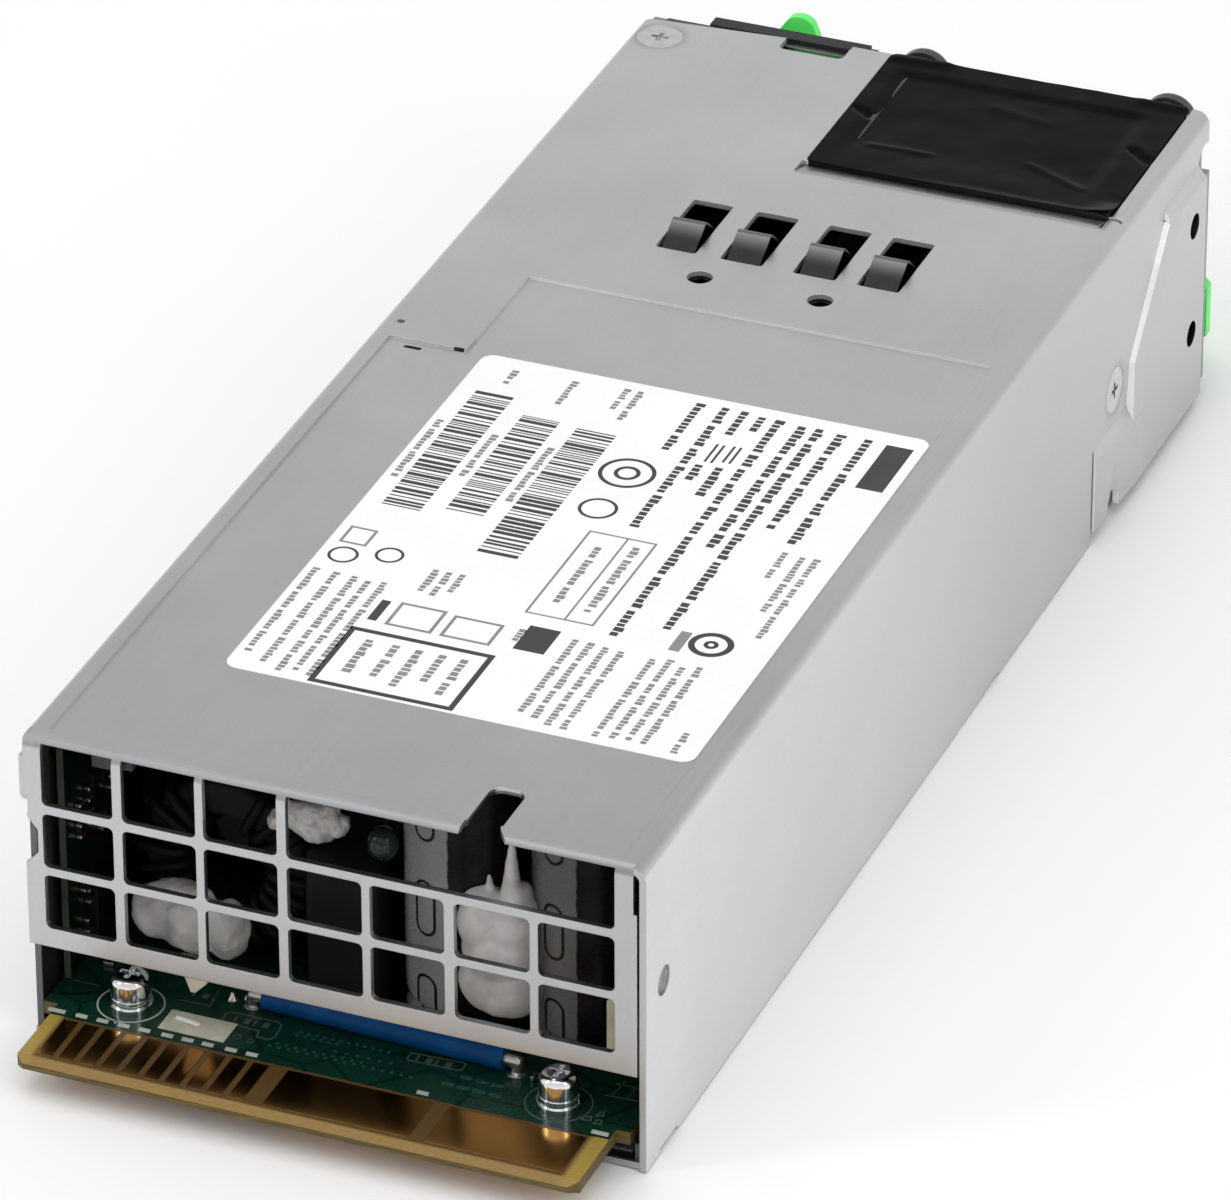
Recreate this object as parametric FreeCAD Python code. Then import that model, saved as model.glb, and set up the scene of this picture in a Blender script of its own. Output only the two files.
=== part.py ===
import FreeCAD, Part
import math, os

os.makedirs("parts", exist_ok=True)
V = FreeCAD.Vector

# ----------------------------------------------------------------------------
# Hot swap server power supply, 1U redundant form factor.
# Working frame while building: X across the width, Y from the connector end
# (0 = outer face of the front grille) to the fan end, Z up from the base.
# Every solid is moved by -LENGTH/2 in Y when it is written, so the row frame's
# origin is the middle of the chassis footprint on its bottom face.
# ----------------------------------------------------------------------------

# driving dimensions, mm
LENGTH = 184.9          # chassis, grille face to rear panel face
HEIGHT = 38.7           # chassis, outer bottom to outer top
XL = -36.9              # outer face of the cover's left lip
XR = 36.8               # outer face of the cover's right wall
T_COVER = 0.8           # cover sheet
T_TRAY = 0.8            # tray and rear panel sheet
PROUD = 1.1             # outward step of the right wall round the rear flange
RECESS = 0.3            # depth of the label recess
GRILLE_BOTTOM = 12.1    # lower edge of the front flange
PCB_Z0, PCB_T = 3.0, 1.6
CARD_Y = -11.35         # tip of the card edge
CARD_HW = 33.2          # half width of the card edge
PCB_HW = 35.0           # half width of the board
FAN_C = (15.0, 19.5)    # fan axis, x and z
FAN_S = 38.2            # fan frame, square
FAN_Y0, FAN_Y1 = 155.6, 183.6
FAN_PITCH = 32.0        # fan screw pitch
INLET_C = (-18.0, 16.05)
HANDLE_P = (187.6, 25.1)   # handle pivot, y and z
LEVER_P = (188.0, 34.0)    # release lever pivot, y and z
GAP = 0.05

parts = {}


def box(x0, y0, z0, x1, y1, z1):
    return Part.makeBox(x1 - x0, y1 - y0, z1 - z0, V(x0, y0, z0))


def cyl(p, axis, r, h):
    return Part.makeCylinder(r, h, V(*p), V(*axis))


def cone(p, axis, r1, r2, h):
    return Part.makeCone(r1, r2, h, V(*p), V(*axis))


def prism(pts, axis, a, b):
    """Closed polygon in the plane across axis, extruded from a to b along axis.
    pts are (y, z) for axis x, (x, z) for axis y, (x, y) for axis z."""
    if axis == "x":
        vs = [V(a, p[0], p[1]) for p in pts]
        d = V(b - a, 0, 0)
    elif axis == "y":
        vs = [V(p[0], a, p[1]) for p in pts]
        d = V(0, b - a, 0)
    else:
        vs = [V(p[0], p[1], a) for p in pts]
        d = V(0, 0, b - a)
    w = Part.makePolygon(vs + [vs[0]])
    return Part.Face(w).extrude(d)


def rbox(x0, y0, z0, x1, y1, z1, r, axis):
    """Box with the four edges along axis rounded."""
    b = box(x0, y0, z0, x1, y1, z1)
    es = []
    for e in b.Edges:
        t = e.tangentAt(e.FirstParameter)
        c = {"x": abs(t.x), "y": abs(t.y), "z": abs(t.z)}[axis]
        if c > 0.99:
            es.append(e)
    return b.makeFillet(r, es)


def fuse(*s):
    s = [q for q in s]
    r = s[0]
    if len(s) > 1:
        r = r.multiFuse(s[1:])
    return r.removeSplitter()


def cut(a, *bs):
    return a.cut(Part.makeCompound(list(bs)))


def chf(shape, pred, size):
    es = [e for e in shape.Edges if pred(e)]
    return shape.makeChamfer(size, es)


def fil(shape, pred, r):
    es = [e for e in shape.Edges if pred(e)]
    return shape.makeFillet(r, es)


def arc3(a, b, c):
    return Part.Arc(V(*a), V(*b), V(*c)).toShape()


def seg(a, b):
    return Part.LineSegment(V(*a), V(*b)).toShape()


def tube(points, d, k=0.45, closed=False):
    """Round tube along straight runs joined by tangent arcs."""
    P = [V(*p) for p in points]
    edges = []
    prev = P[0]
    for i in range(1, len(P) - 1):
        a, b, c = P[i - 1], P[i], P[i + 1]
        u = (a - b)
        w = (c - b)
        lu, lw = u.Length, w.Length
        u.normalize()
        w.normalize()
        ang = math.acos(max(-1, min(1, u.dot(w))))
        half = (math.pi - ang) / 2.0
        t = k * min(lu, lw)
        r = t / math.tan(half)
        p1 = b + u * t
        p2 = b + w * t
        bis = (u + w)
        bis.normalize()
        cen = b + bis * (r / math.cos(half))
        mid = cen - bis * r
        if (p1 - prev).Length > 1e-6:
            edges.append(Part.LineSegment(prev, p1).toShape())
        edges.append(Part.Arc(p1, mid, p2).toShape())
        prev = p2
    edges.append(Part.LineSegment(prev, P[-1]).toShape())
    wire = Part.Wire(edges)
    n = P[1] - P[0]
    n.normalize()
    prof = Part.Wire([Part.makeCircle(d / 2.0, P[0], n)])
    s = wire.makePipeShell([prof], True, True, 1)
    return s


def put(name, *solids):
    parts.setdefault(name, []).extend(solids)


# ----------------------------------------------------------------------------
# Top cover: top, right wall, front grille flange and left lip in one sheet
# ----------------------------------------------------------------------------
T = T_COVER
H = HEIGHT
RO, RI = 1.7, 0.9       # right bend
RL, RLI = 1.4, 0.6      # left bend


def bend_profile(y):
    """Closed cross-section of lip, top and right wall at a station y."""
    s = math.sqrt(0.5)
    e = []
    p = {}
    p["a"] = (XL, y, 30.0)
    p["b"] = (XL, y, H - RL)
    p["bm"] = (XL + RL - RL * s, y, H - RL + RL * s)
    p["c"] = (XL + RL, y, H)
    p["d"] = (XR - RO, y, H)
    p["dm"] = (XR - RO + RO * s, y, H - RO + RO * s)
    p["e"] = (XR, y, H - RO)
    p["f"] = (XR, y, 0.0)
    p["g"] = (XR - T, y, 0.0)
    p["h"] = (XR - T, y, H - RO)
    p["hm"] = (XR - RO + RI * s, y, H - RO + RI * s)
    p["i"] = (XR - RO, y, H - T)
    p["j"] = (XL + RL, y, H - T)
    p["jm"] = (XL + RL - RLI * s, y, H - RL + RLI * s)
    p["k"] = (XL + T, y, H - RL)
    p["l"] = (XL + T, y, 30.0)
    e.append(seg(p["a"], p["b"]))
    e.append(arc3(p["b"], p["bm"], p["c"]))
    e.append(seg(p["c"], p["d"]))
    e.append(arc3(p["d"], p["dm"], p["e"]))
    e.append(seg(p["e"], p["f"]))
    e.append(seg(p["f"], p["g"]))
    e.append(seg(p["g"], p["h"]))
    e.append(arc3(p["h"], p["hm"], p["i"]))
    e.append(seg(p["i"], p["j"]))
    e.append(arc3(p["j"], p["jm"], p["k"]))
    e.append(seg(p["k"], p["l"]))
    e.append(seg(p["l"], p["a"]))
    return Part.Face(Part.Wire(e))


shell = bend_profile(0.0).extrude(V(0, LENGTH, 0))

# front flange with its bend, in the YZ plane
FL0, FL1 = -36.25, 35.3
RF, RFI = 1.5, 0.7
s2 = math.sqrt(0.5)
fe = [
    seg((FL0, 0, GRILLE_BOTTOM), (FL0, 0, H - RF)),
    arc3((FL0, 0, H - RF), (FL0, RF - RF * s2, H - RF + RF * s2), (FL0, RF, H)),
    seg((FL0, RF, H), (FL0, RF + 0.8, H)),
    seg((FL0, RF + 0.8, H), (FL0, RF + 0.8, H - T)),
    seg((FL0, RF + 0.8, H - T), (FL0, RF, H - T)),
    arc3((FL0, RF, H - T), (FL0, RF - RFI * s2, H - RF + RFI * s2), (FL0, T, H - RF)),
    seg((FL0, T, H - RF), (FL0, T, GRILLE_BOTTOM)),
    seg((FL0, T, GRILLE_BOTTOM), (FL0, 0, GRILLE_BOTTOM)),
]
flange = Part.Face(Part.Wire(fe)).extrude(V(FL1 - FL0, 0, 0))
flange = fuse(flange, box(FL1 - 0.5, 0, GRILLE_BOTTOM, 35.72, T, 32.8))

# the sheet's front edge is cleared where the flange bends down
shell = cut(shell,
            box(XL - 1, -1, 36.0, FL1, RF, H + 1),
            box(XL - 1, -1, 29.0, -34.0, 0.35, 36.5))
cover = fuse(shell, flange)

# grille: three rows of seven cells; the top row opens into the bend, and
# only its first three bars run up to the sheet
cx = [(-34.13, -25.66), (-24.55, -15.80), (-14.87, -6.15), (-5.06, 3.72),
      (4.67, 13.35), (14.52, 23.32), (24.28, 33.15)]
rows = [(14.53, 21.45), (22.45, 29.33)]
tools = []
for (a, b) in cx:
    for (c, d) in rows:
        tools.append(rbox(a, -0.5, c, b, T + 0.3, d, 0.7, "y"))
ztop = 38.08
for (a, b) in cx[:3]:
    tools.append(fuse(rbox(a, -0.5, 30.39, b, T + 0.3, 36.5, 0.7, "y"),
                      box(a, -0.5, 33.0, b, T + 0.3, ztop)))
tools.append(fuse(rbox(cx[3][0], -0.5, 30.39, cx[6][1], T + 0.3, 36.5, 0.7, "y"),
                  box(cx[3][0], -0.5, 33.0, cx[6][1], T + 0.3, ztop)))
# open slot in the front edge of the top, flared at the mouth
slot = fuse(rbox(15.0, 1.2, 37.0, 19.1, 10.3, 39.5, 1.5, "z"),
            box(15.0, -0.5, 37.0, 19.1, 6.0, 39.5),
            prism([(19.0, -0.5), (20.6, -0.5), (20.3, 0.6), (19.5, 1.6), (19.0, 2.6)], "z", 37.0, 39.5))
tools.append(slot)
# keying notch on the left edge of the flange
tools.append(prism([(-37.5, 29.5), (-35.95, 29.5), (-35.95, 28.55), (-34.75, 27.1),
                    (-34.75, 24.2), (-36.1, 22.6), (-37.5, 22.6)], "y", -0.5, T + 0.3))
cover = cut(cover, *tools)

# bottom edge reliefs of the right wall
cover = cut(cover,
            box(35, 4.1, -1, 38, 9.2, 0.55),
            box(35, 106.0, -1, 38, 111.5, 0.4),
            cyl((36.3, 5.1, 21.8), (1, 0, 0), 1.75, 2))

# outward step of the right wall at the rear
zc1, zc2 = 33.2, 31.6        # upper crease
zb1, zb2 = 12.6, 11.0        # lower crease
YS = 144.3                   # front slit
YR = 181.4                   # rear edge of the step
cutline = [(185.5, 33.2), (169.1, 33.2), (168.9, 31.6), (157.1, 18.6), (156.3, 12.8), (YS - 0.45, 12.8),
           (YS - 0.45, -1), (185.5, -1)]
cover = cut(cover, prism(cutline, "x", XR - T - 0.02, XR + 0.5))
px0, px1 = XR - T + PROUD, XR + PROUD
# edge of the plate from its upper front corner down to the lower crease
ED = [(168.5, zc2), (156.7, 18.6), (155.9, zb2)]
YB = 157.2
plate = prism([(YR, zc2), ED[0], ED[1], ED[2], (YB, zb2), (YB, 1.6), (YR, 1.6)], "x", px0, px1)
# along that edge the plate leans in towards the wall
secs = []
for (y_, z_, d_) in ((ED[0][0] + 1.815, zc2 + 2.0, 0.36), (ED[0][0], zc2, 0.36), (ED[1][0], ED[1][1], 0.36), (ED[2][0], zb2, 0.08)):
    k_ = d_ / 4.0
    x_ = px1 - d_
    secs.append(Part.makePolygon([V(x_ - 0.5 * k_, y_ - 0.5, z_), V(px1 + 0.3, y_ - 0.5, z_),
                                  V(px1 + 0.3, y_ + (d_ + 0.3) / k_, z_), V(x_ - 0.5 * k_, y_ - 0.5, z_)]))
lean = Part.makeLoft(secs, True, True)
# the lower front part runs out almost flush at the slit
def xo_(y_):
    return 37.08 + (px1 - 37.08) * (y_ - YS) / (YB - YS)
low_plate = prism([(xo_(YS) - T, YS), (xo_(YS), YS), (px1, YB), (px0, YB)], "z", 1.6, zb2)
def dn_(y_):
    xo = xo_(y_)
    xi = xo - T
    return Part.makePolygon([V(XR - T, y_, zb1 + 0.9), V(XR, y_, zb1 + 0.9), V(XR, y_, zb1 + 0.1), V(xo, y_, zb2), V(xo, y_, zb2 - 0.6),
                             V(xi, y_, zb2 - 0.6), V(xi, y_, zb2 - 0.2), V(XR - T, y_, zb1 - 0.1), V(XR - T, y_, zb1 + 0.9)])
ramp_dn = Part.makeLoft([dn_(YS), dn_(ED[2][0])], True, True)
ramp_up = prism([(XR - T, zc1 + 0.7), (XR, zc1 + 0.7), (XR, zc1), (px1, zc2 + 0.3), (px1, zc2 - 0.6),
                 (px0, zc2 - 0.6), (px0, zc2 + 0.1), (XR - T, zc1 - 0.1)], "y", ED[0][0], YR)
# strip that closes the space between the wall and the plate along the edge
fill = prism([(168.5, 31.8), (156.7, 18.6), (155.9, 11.4), (156.5, 11.4), (157.25, 18.6), (169.1, 31.8)], "x", XR - 0.3, px0 + 0.1)
plate = cut(fuse(plate, ramp_up, fill), lean)
cover = fuse(cover, plate, low_plate, ramp_dn)
cover = cut(cover,
            cyl((34, 183.6, 32.5), (1, 0, 0), 2.5, 5),
            box(34, 182.6, 29.9, 37.2, 186, 32.5),
            cyl((36, 177.1, 27.05), (1, 0, 0), 1.65, 4),
            cyl((36, 177.1, 12.05), (1, 0, 0), 1.65, 4),
            rbox(35.9, 148.6, -1, 40, 151.8, 3.7, 0.5, "x"),
            cone((xo_(150.2) + 0.6, 150.2, 3.4), (0, 0, 1), 1.5, 0.7, 4.2))

# label recess: lowered sheet from the front to two thirds of the length
zr = H - RECESS
rec = [(-34.2, 2.6), (33.5, 2.6), (33.5, 115.9), (-24.5, 115.9), (-24.5, 96.8), (-34.2, 96.8)]
low = prism(rec, "z", zr - T, zr)
upper_cut = prism(rec, "z", zr, H + 0.5)
low_in = prism([(-33.9, 2.9), (33.2, 2.9), (33.2, 115.6), (-24.2, 115.6), (-24.2, 96.5), (-33.9, 96.5)],
               "z", zr - T, zr - T + 0.4)
cover = cut(cover, upper_cut)
cover = fuse(cover, low_in)
cover = cut(cover, slot)
# relief slits of the recess and a small gauge hole
cover = cut(cover,
            rbox(-31.9, 95.2, 36, -29.7, 95.9, 40, 0.3, "z"),
            rbox(-26.1, 96.6, 36, -24.8, 97.2, 40, 0.25, "z"),
            cyl((-34.3, 100.4, 36), (0, 0, 1), 0.5, 4))

# grounding finger windows and locating holes
WIN_X = [(-13.4, -8.3), (-5.2, 0.1), (4.0, 9.4), (12.1, 17.4)]
WIN_Y = (128.3, 141.0)
for (a, b) in WIN_X:
    cover = cut(cover, rbox(a, WIN_Y[0], 36, b, WIN_Y[1], 40, 0.4, "z"))
LOC = [(-5.7, 123.2), (9.5, 123.2)]
for (a, b) in LOC:
    cover = cut(cover, cyl((a, b, 36), (0, 0, 1), 1.55, 4))

# rear window over the fan, with the sheet pressed down along its front edge
WX0, WX1, WY0 = -4.6, 34.6, 154.9
win = fuse(rbox(WX0, WY0, 36, WX1, 200, 40, 1.0, "z"), box(WX0, 170, 36, WX1, 200, 40))
ramp_zone = box(WX0 - 0.35, 152.2, 36, WX1 - 0.3, WY0 + 0.2, 40)
cover = cut(cover, win, ramp_zone)
ramp = prism([(152.0, H), (152.6, H), (154.9, H - 0.6), (154.9, H - 0.6 - T), (152.4, H - T), (152.0, H - T)],
             "x", WX0, WX1 - 0.8)
cover = fuse(cover, ramp)
cover = cut(cover, box(WX1 - 0.35, 154.4, 36, 36.0, 155.1, 40))
# rear edge of the top: shorter on the left, with the catch notch
cover = cut(cover,
            prism([(-38, 182.4), (-34.5, 182.75), (-18.2, 184.1), (-9.7, 184.1), (-9.7, 186), (-38, 186)], "z", 29, 40),
            rbox(-18.2, 181.2, 36, -9.8, 187, 40, 0.8, "z"),
            box(-38, 182.5, 29, XL + T + 0.02, 186, 36.9))
# the lip's lower front corner is clipped
cover = cut(cover, prism([(-1, 29), (1.8, 29), (0.2, 31.2), (-1, 31.2)], "x", -38, -35.85))

# countersunk seats
SCR_TOP = (-32.9, 178.7)
SCR_SIDE = (151.6, 17.35)
cover = cut(cover,
            cone((SCR_TOP[0], SCR_TOP[1], H + 0.01), (0, 0, -1), 3.0, 2.0, 0.82),
            cyl((SCR_TOP[0], SCR_TOP[1], 36), (0, 0, 1), 1.9, 4),
            cone((XR + 0.01, SCR_SIDE[0], SCR_SIDE[1]), (-1, 0, 0), 3.0, 2.0, 0.82),
            cyl((34.5, SCR_SIDE[0], SCR_SIDE[1]), (1, 0, 0), 1.9, 4))
put("top_cover", cover)

# ----------------------------------------------------------------------------
# Base tray: bottom, left wall, short right flange and two screw tabs
# ----------------------------------------------------------------------------
tx0 = XL + T + 0.02      # outer face of the tray's left wall
tx1 = XR - T - 0.05      # outer face of its right flange
tray = fuse(
    box(tx0, 0.35, 0, tx1, 184.05, T_TRAY),
    box(tx0, 0.85, 0, tx0 + T_TRAY, 184.05, 37.25),
    box(tx1 - T_TRAY, 0.85, 0, tx1, 140.0, 2.9),
    box(tx1 - T_TRAY, 146.5, 0, tx1, 154.3, 21.5),
    box(tx0 + 0.65, 174.6, 37.05, -29.4, 182.8, 37.85),
)
tray = fil(tray, lambda e: abs(e.BoundBox.XMax - tx0) < 1e-4 and abs(e.BoundBox.ZMax) < 1e-4, 0.75)
tray = cut(tray,
           fuse(rbox(WX0, 155.2, -1, 34.6, 200, 2, 0.6, "z"), box(WX0, 170, -1, 34.6, 200, 2)),
           cyl((SCR_TOP[0], SCR_TOP[1], 36), (0, 0, 1), 1.3, 3),
           cyl((34, SCR_SIDE[0], SCR_SIDE[1]), (1, 0, 0), 1.3, 3))
put("base_tray", tray)


def csk(p, axis, l=4.2):
    """Countersunk screw with a cross recess; p is the middle of its flat top."""
    a = V(*axis)
    P = V(*p)
    h = cone(p, axis, 2.93, 1.98, 0.76)
    sh = cyl(tuple(P + a * 0.7), axis, 1.24, l - 0.7)
    b = fuse(h, sh)
    # cross recess
    if abs(axis[2]) > 0.5:
        c1 = box(p[0] - 1.1, p[1] - 0.3, p[2] - 0.5, p[0] + 1.1, p[1] + 0.3, p[2] + 0.2)
        c2 = box(p[0] - 0.3, p[1] - 1.1, p[2] - 0.5, p[0] + 0.3, p[1] + 1.1, p[2] + 0.2)
    else:
        c1 = box(p[0] - 0.5, p[1] - 1.1, p[2] - 0.3, p[0] + 0.2, p[1] + 1.1, p[2] + 0.3)
        c2 = box(p[0] - 0.5, p[1] - 0.3, p[2] - 1.1, p[0] + 0.2, p[1] + 0.3, p[2] + 1.1)
    return cut(b, c1, c2)


put("cover_screws",
    csk((SCR_TOP[0], SCR_TOP[1], H - 0.04), (0, 0, -1), 3.6),
    csk((XR - 0.04, SCR_SIDE[0], SCR_SIDE[1]), (-1, 0, 0), 3.6))

# ----------------------------------------------------------------------------
# Rear panel with a side flange inside the wall's outward step
# ----------------------------------------------------------------------------
fx, fz = FAN_C
panel = fuse(
    prism([(XL + T + 0.05, 0.9), (XR - T - 0.05, 0.9), (XR - T - 0.05, 36.8), (XR - T - 1.1, 37.86), (XL + T + 0.05, 37.86)],
          "y", 184.1, LENGTH),
    prism([(-34.9, 37.5), (-34.2, 38.02), (-28.0, 38.02), (-27.8, 37.5)], "y", 184.15, LENGTH),
    prism([(184.1, 1.8), (LENGTH, 1.8), (LENGTH, 30.8), (184.1, 30.8)], "x", 35.0, 37.0),
    prism([(160.2, 4.0), (158.4, 6.0), (159.0, 17.6), (170.0, 30.8), (LENGTH, 30.8), (LENGTH, 1.8), (162.2, 1.8)],
          "x", 36.2, 37.0),
)
ptools = [cyl((fx, 183, fz), (0, 1, 0), 18.3, 3)]
for sx in (-1, 1):
    for sz in (-1, 1):
        ptools.append(cyl((fx + sx * FAN_PITCH / 2, 183, fz + sz * FAN_PITCH / 2), (0, 1, 0), 1.75, 3))
ix, iz = INLET_C
ptools.append(box(ix - 10.15, 183, iz - 13.85, ix + 10.15, 186, iz + 13.85))
ptools.append(box(-18.3, 183, 32.6, -9.7, 186, 37.0))
ptools.append(box(-18.3, 183, 37.55, -9.7, 186, 39))
ptools.append(cyl((-32.6, 183, 33.2), (0, 1, 0), 1.55, 3))
ptools.append(cyl((35.5, 177.1, 27.05), (1, 0, 0), 1.9, 3))
ptools.append(cyl((35.5, 177.1, 12.05), (1, 0, 0), 1.9, 3))
panel = cut(panel, *ptools)
put("rear_panel", panel)

# ----------------------------------------------------------------------------
# Grounding spring strip under the top
# ----------------------------------------------------------------------------
zs = H - T - RECESS * 0 - 0.05
strip = box(-15.0, 120.6, zs - 0.3, 19.2, 128.9, zs)
for (a, b) in LOC:
    strip = cut(strip, cyl((a, b, 36), (0, 0, 1), 1.2, 4))
fing = []
for (a, b) in WIN_X:
    m = (a + b) / 2.0
    x0, x1 = m - 2.1, m + 2.1
    t = 0.25
    ya, za = 128.5, zs - 0.05
    pe = [
        seg((x0, ya, za), (x0, 132.4, 40.18)),
        arc3((x0, 132.4, 40.18), (x0, 133.0, 40.38), (x0, 133.6, 40.12)),
        seg((x0, 133.6, 40.12), (x0, 136.9, 37.3)),
        seg((x0, 136.9, 37.3), (x0, 136.74, 37.11)),
        seg((x0, 136.74, 37.11), (x0, 133.44, 39.93)),
        arc3((x0, 133.44, 39.93), (x0, 133.0, 40.13), (x0, 132.53, 39.97)),
        seg((x0, 132.53, 39.97), (x0, ya + 0.3, za - 0.2)),
        seg((x0, ya + 0.3, za - 0.2), (x0, ya, za)),
    ]
    fing.append(Part.Face(Part.Wire(pe)).extrude(V(x1 - x0, 0, 0)))
put("grounding_spring", fuse(strip, *fing))

# ----------------------------------------------------------------------------
# Main board with card edge, contacts, screws, standoffs, insulator
# ----------------------------------------------------------------------------
z0, z1 = PCB_Z0, PCB_Z0 + PCB_T
outline = [(-CARD_HW, 0.2), (-CARD_HW, CARD_Y + 1.0), (-CARD_HW + 1.0, CARD_Y), (CARD_HW - 1.0, CARD_Y),
           (CARD_HW, CARD_Y + 1.0), (CARD_HW, 0.2), (PCB_HW - 0.15, 0.2), (PCB_HW - 0.15, 143.0),
           (34.0, 143.0), (34.0, 152.6), (-6.5, 152.6), (-6.5, 158.5), (-PCB_HW + 0.1, 158.5), (-PCB_HW + 0.1, 0.2)]
pcb = prism(outline, "z", z0, z1)
bev = 0.45
pcb = cut(pcb,
          prism([(CARD_Y - 0.1, z1 + 0.01), (CARD_Y + 1.2, z1 + 0.01), (CARD_Y - 0.1, z1 - bev - 0.04)], "x", -40, 40),
          prism([(CARD_Y - 0.1, z0 - 0.01), (CARD_Y + 1.2, z0 - 0.01), (CARD_Y - 0.1, z0 + bev + 0.04)], "x", -40, 40))
SCREWS = [(-25.7, 3.2), (25.5, 2.7), (31.0, 63.0), (-31.0, 128.0), (31.0, 147.5)]
for (a, b) in SCREWS:
    pcb = cut(pcb, cyl((a, b, z0 - 1), (0, 0, 1), 1.7, 4))
put("main_board", pcb)

ct, cb = [], []
FING_Y0, FING_Y1 = -9.6, -2.4
for i in range(10):
    xa = -31.25 + 2.54 * i
    ct.append(box(xa, FING_Y0, z1, xa + 1.8, FING_Y1, z1 + 0.05))
    cb.append(box(xa, FING_Y0, z0 - 0.05, xa + 1.8, FING_Y1, z0))
for (a, b) in ((-4.3, 12.9), (14.8, 30.8)):
    ct.append(box(a, FING_Y0, z1, b, FING_Y1, z1 + 0.05))
    cb.append(box(a, FING_Y0, z0 - 0.05, b, FING_Y1, z0))
put("edge_contacts", *(ct + cb))


def pan(p, r, h, sr, sl):
    """Pan-head screw, head upwards from p, shank downwards, cross recess."""
    x, y, z = p
    hd = cyl(p, (0, 0, 1), r, h)
    hd = fil(hd, lambda e: abs(e.BoundBox.ZMin - (z + h)) < 1e-4 and e.BoundBox.ZLength < 1e-4, min(r, h) * 0.45)
    sh = cyl((x, y, z - sl), (0, 0, 1), sr, sl + 0.2)
    b = fuse(hd, sh)
    c1 = box(x - 1.2, y - 0.3, z + h - 1.0, x + 1.2, y + 0.3, z + h + 0.3)
    c2 = box(x - 0.3, y - 1.2, z + h - 1.0, x + 0.3, y + 1.2, z + h + 0.3)
    return cut(b, c1, c2)


scr, wash, stand = [], [], []
for i, (a, b) in enumerate(SCREWS):
    zt = z1
    fw = cut(cyl((a, b, zt), (0, 0, 1), 2.5, 0.6), cyl((a, b, zt - 1), (0, 0, 1), 1.62, 3))
    sw = cut(cyl((a, b, zt + 0.6), (0, 0, 1), 2.3, 0.85), cyl((a, b, zt - 1), (0, 0, 1), 1.62, 4),
             box(a + 1.2, b - 0.2, zt + 0.5, a + 3.2, b + 0.2, zt + 1.6))
    wash += [fw, sw]
    scr.append(pan((a, b, zt + 1.45), 2.25, 2.7, 1.5, 4.4))
    hexa = [(a + 2.6 * math.cos(math.radians(60 * k)), b + 2.6 * math.sin(math.radians(60 * k))) for k in range(6)]
    so = cut(prism(hexa, "z", T_TRAY, z0), cyl((a, b, 0.9), (0, 0, 1), 1.52, 4))
    stand.append(so)
put("board_screws", *scr)
put("board_washers", *wash)
put("board_standoffs", *stand)
ins = box(-34.4, 2.0, T_TRAY, 34.4, 150.0, T_TRAY + 0.25)
for (a, b) in SCREWS:
    ins = cut(ins, cyl((a, b, 0), (0, 0, 1), 3.2, 3))
put("insulator_sheet", ins)

# ----------------------------------------------------------------------------
# Output end: capacitors, choke, busbar, adhesive, bead, daughter board
# ----------------------------------------------------------------------------
CAPS = [(9.3, 16.5), (24.4, 16.5)]
cap = []
for (a, b) in CAPS:
    c = cyl((a, b, z1 + 0.3), (0, 0, 1), 7.0, 32.0)
    c = fil(c, lambda e: e.BoundBox.ZLength < 1e-4 and e.BoundBox.XLength > 5, 0.6)
    groove = Part.makeTorus(7.35, 0.62, V(a, b, z1 + 2.2), V(0, 0, 1))
    c = cut(c, groove)
    leads = [cyl((a - 3.5, b, z0 + 0.2), (0, 0, 1), 0.35, 2.2), cyl((a + 3.5, b, z0 + 0.2), (0, 0, 1), 0.35, 2.2)]
    cap.append(fuse(c, *leads))
put("output_capacitors", *cap)
# lead holes in the board are plated through: opened to take the leads
holes = []
for (a, b) in CAPS:
    for s in (-3.5, 3.5):
        holes.append(cyl((a + s, b, z0 - 1), (0, 0, 1), 0.4, 4))

# second row of small output capacitors
sc = []
for a in (-6.0, 3.2, 12.4, 21.6, 30.8):
    c = cyl((a, 29.4, z1 + 0.1), (0, 0, 1), 3.9, 14.0)
    c = fil(c, lambda e: e.BoundBox.ZLength < 1e-4 and e.BoundBox.XLength > 3, 0.5)
    sc.append(c)
put("filter_capacitors", *sc)

# toroidal output choke standing on the board
TC = (-19.4, 19.5, 17.4)
core = cut(cyl((TC[0], TC[1] - 4.0, TC[2]), (0, 1, 0), 10.0, 8.0), cyl((TC[0], TC[1] - 5.0, TC[2]), (0, 1, 0), 5.8, 10.0))
core = fil(core, lambda e: e.Curve.TypeId == "Part::GeomCircle", 0.8)
put("output_choke_core", core)
wnd = []
NT = 22
for k in range(NT):
    if k in (5, 6):
        continue
    ang = 2 * math.pi * k / NT
    ca, sa = math.cos(ang), math.sin(ang)
    # one rectangular turn of round wire about the core, in the radial plane
    ri, ro, yy = 5.05, 10.85, 4.8
    w = 0.65
    c0 = V(TC[0], TC[1], TC[2])
    rad = V(ca, 0, sa)
    pts = [c0 + rad * ri + V(0, -yy, 0), c0 + rad * ro + V(0, -yy, 0), c0 + rad * ro + V(0, yy, 0), c0 + rad * ri + V(0, yy, 0)]
    es = []
    for q in range(4):
        a_, b_ = pts[q], pts[(q + 1) % 4]
        d_ = b_ - a_
        ln = d_.Length
        d_.normalize()
        es.append(Part.makeCylinder(w, ln, a_, d_))
        es.append(Part.makeSphere(w, a_))
    wnd.append(fuse(*es))
put("output_choke_winding", *wnd)

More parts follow.
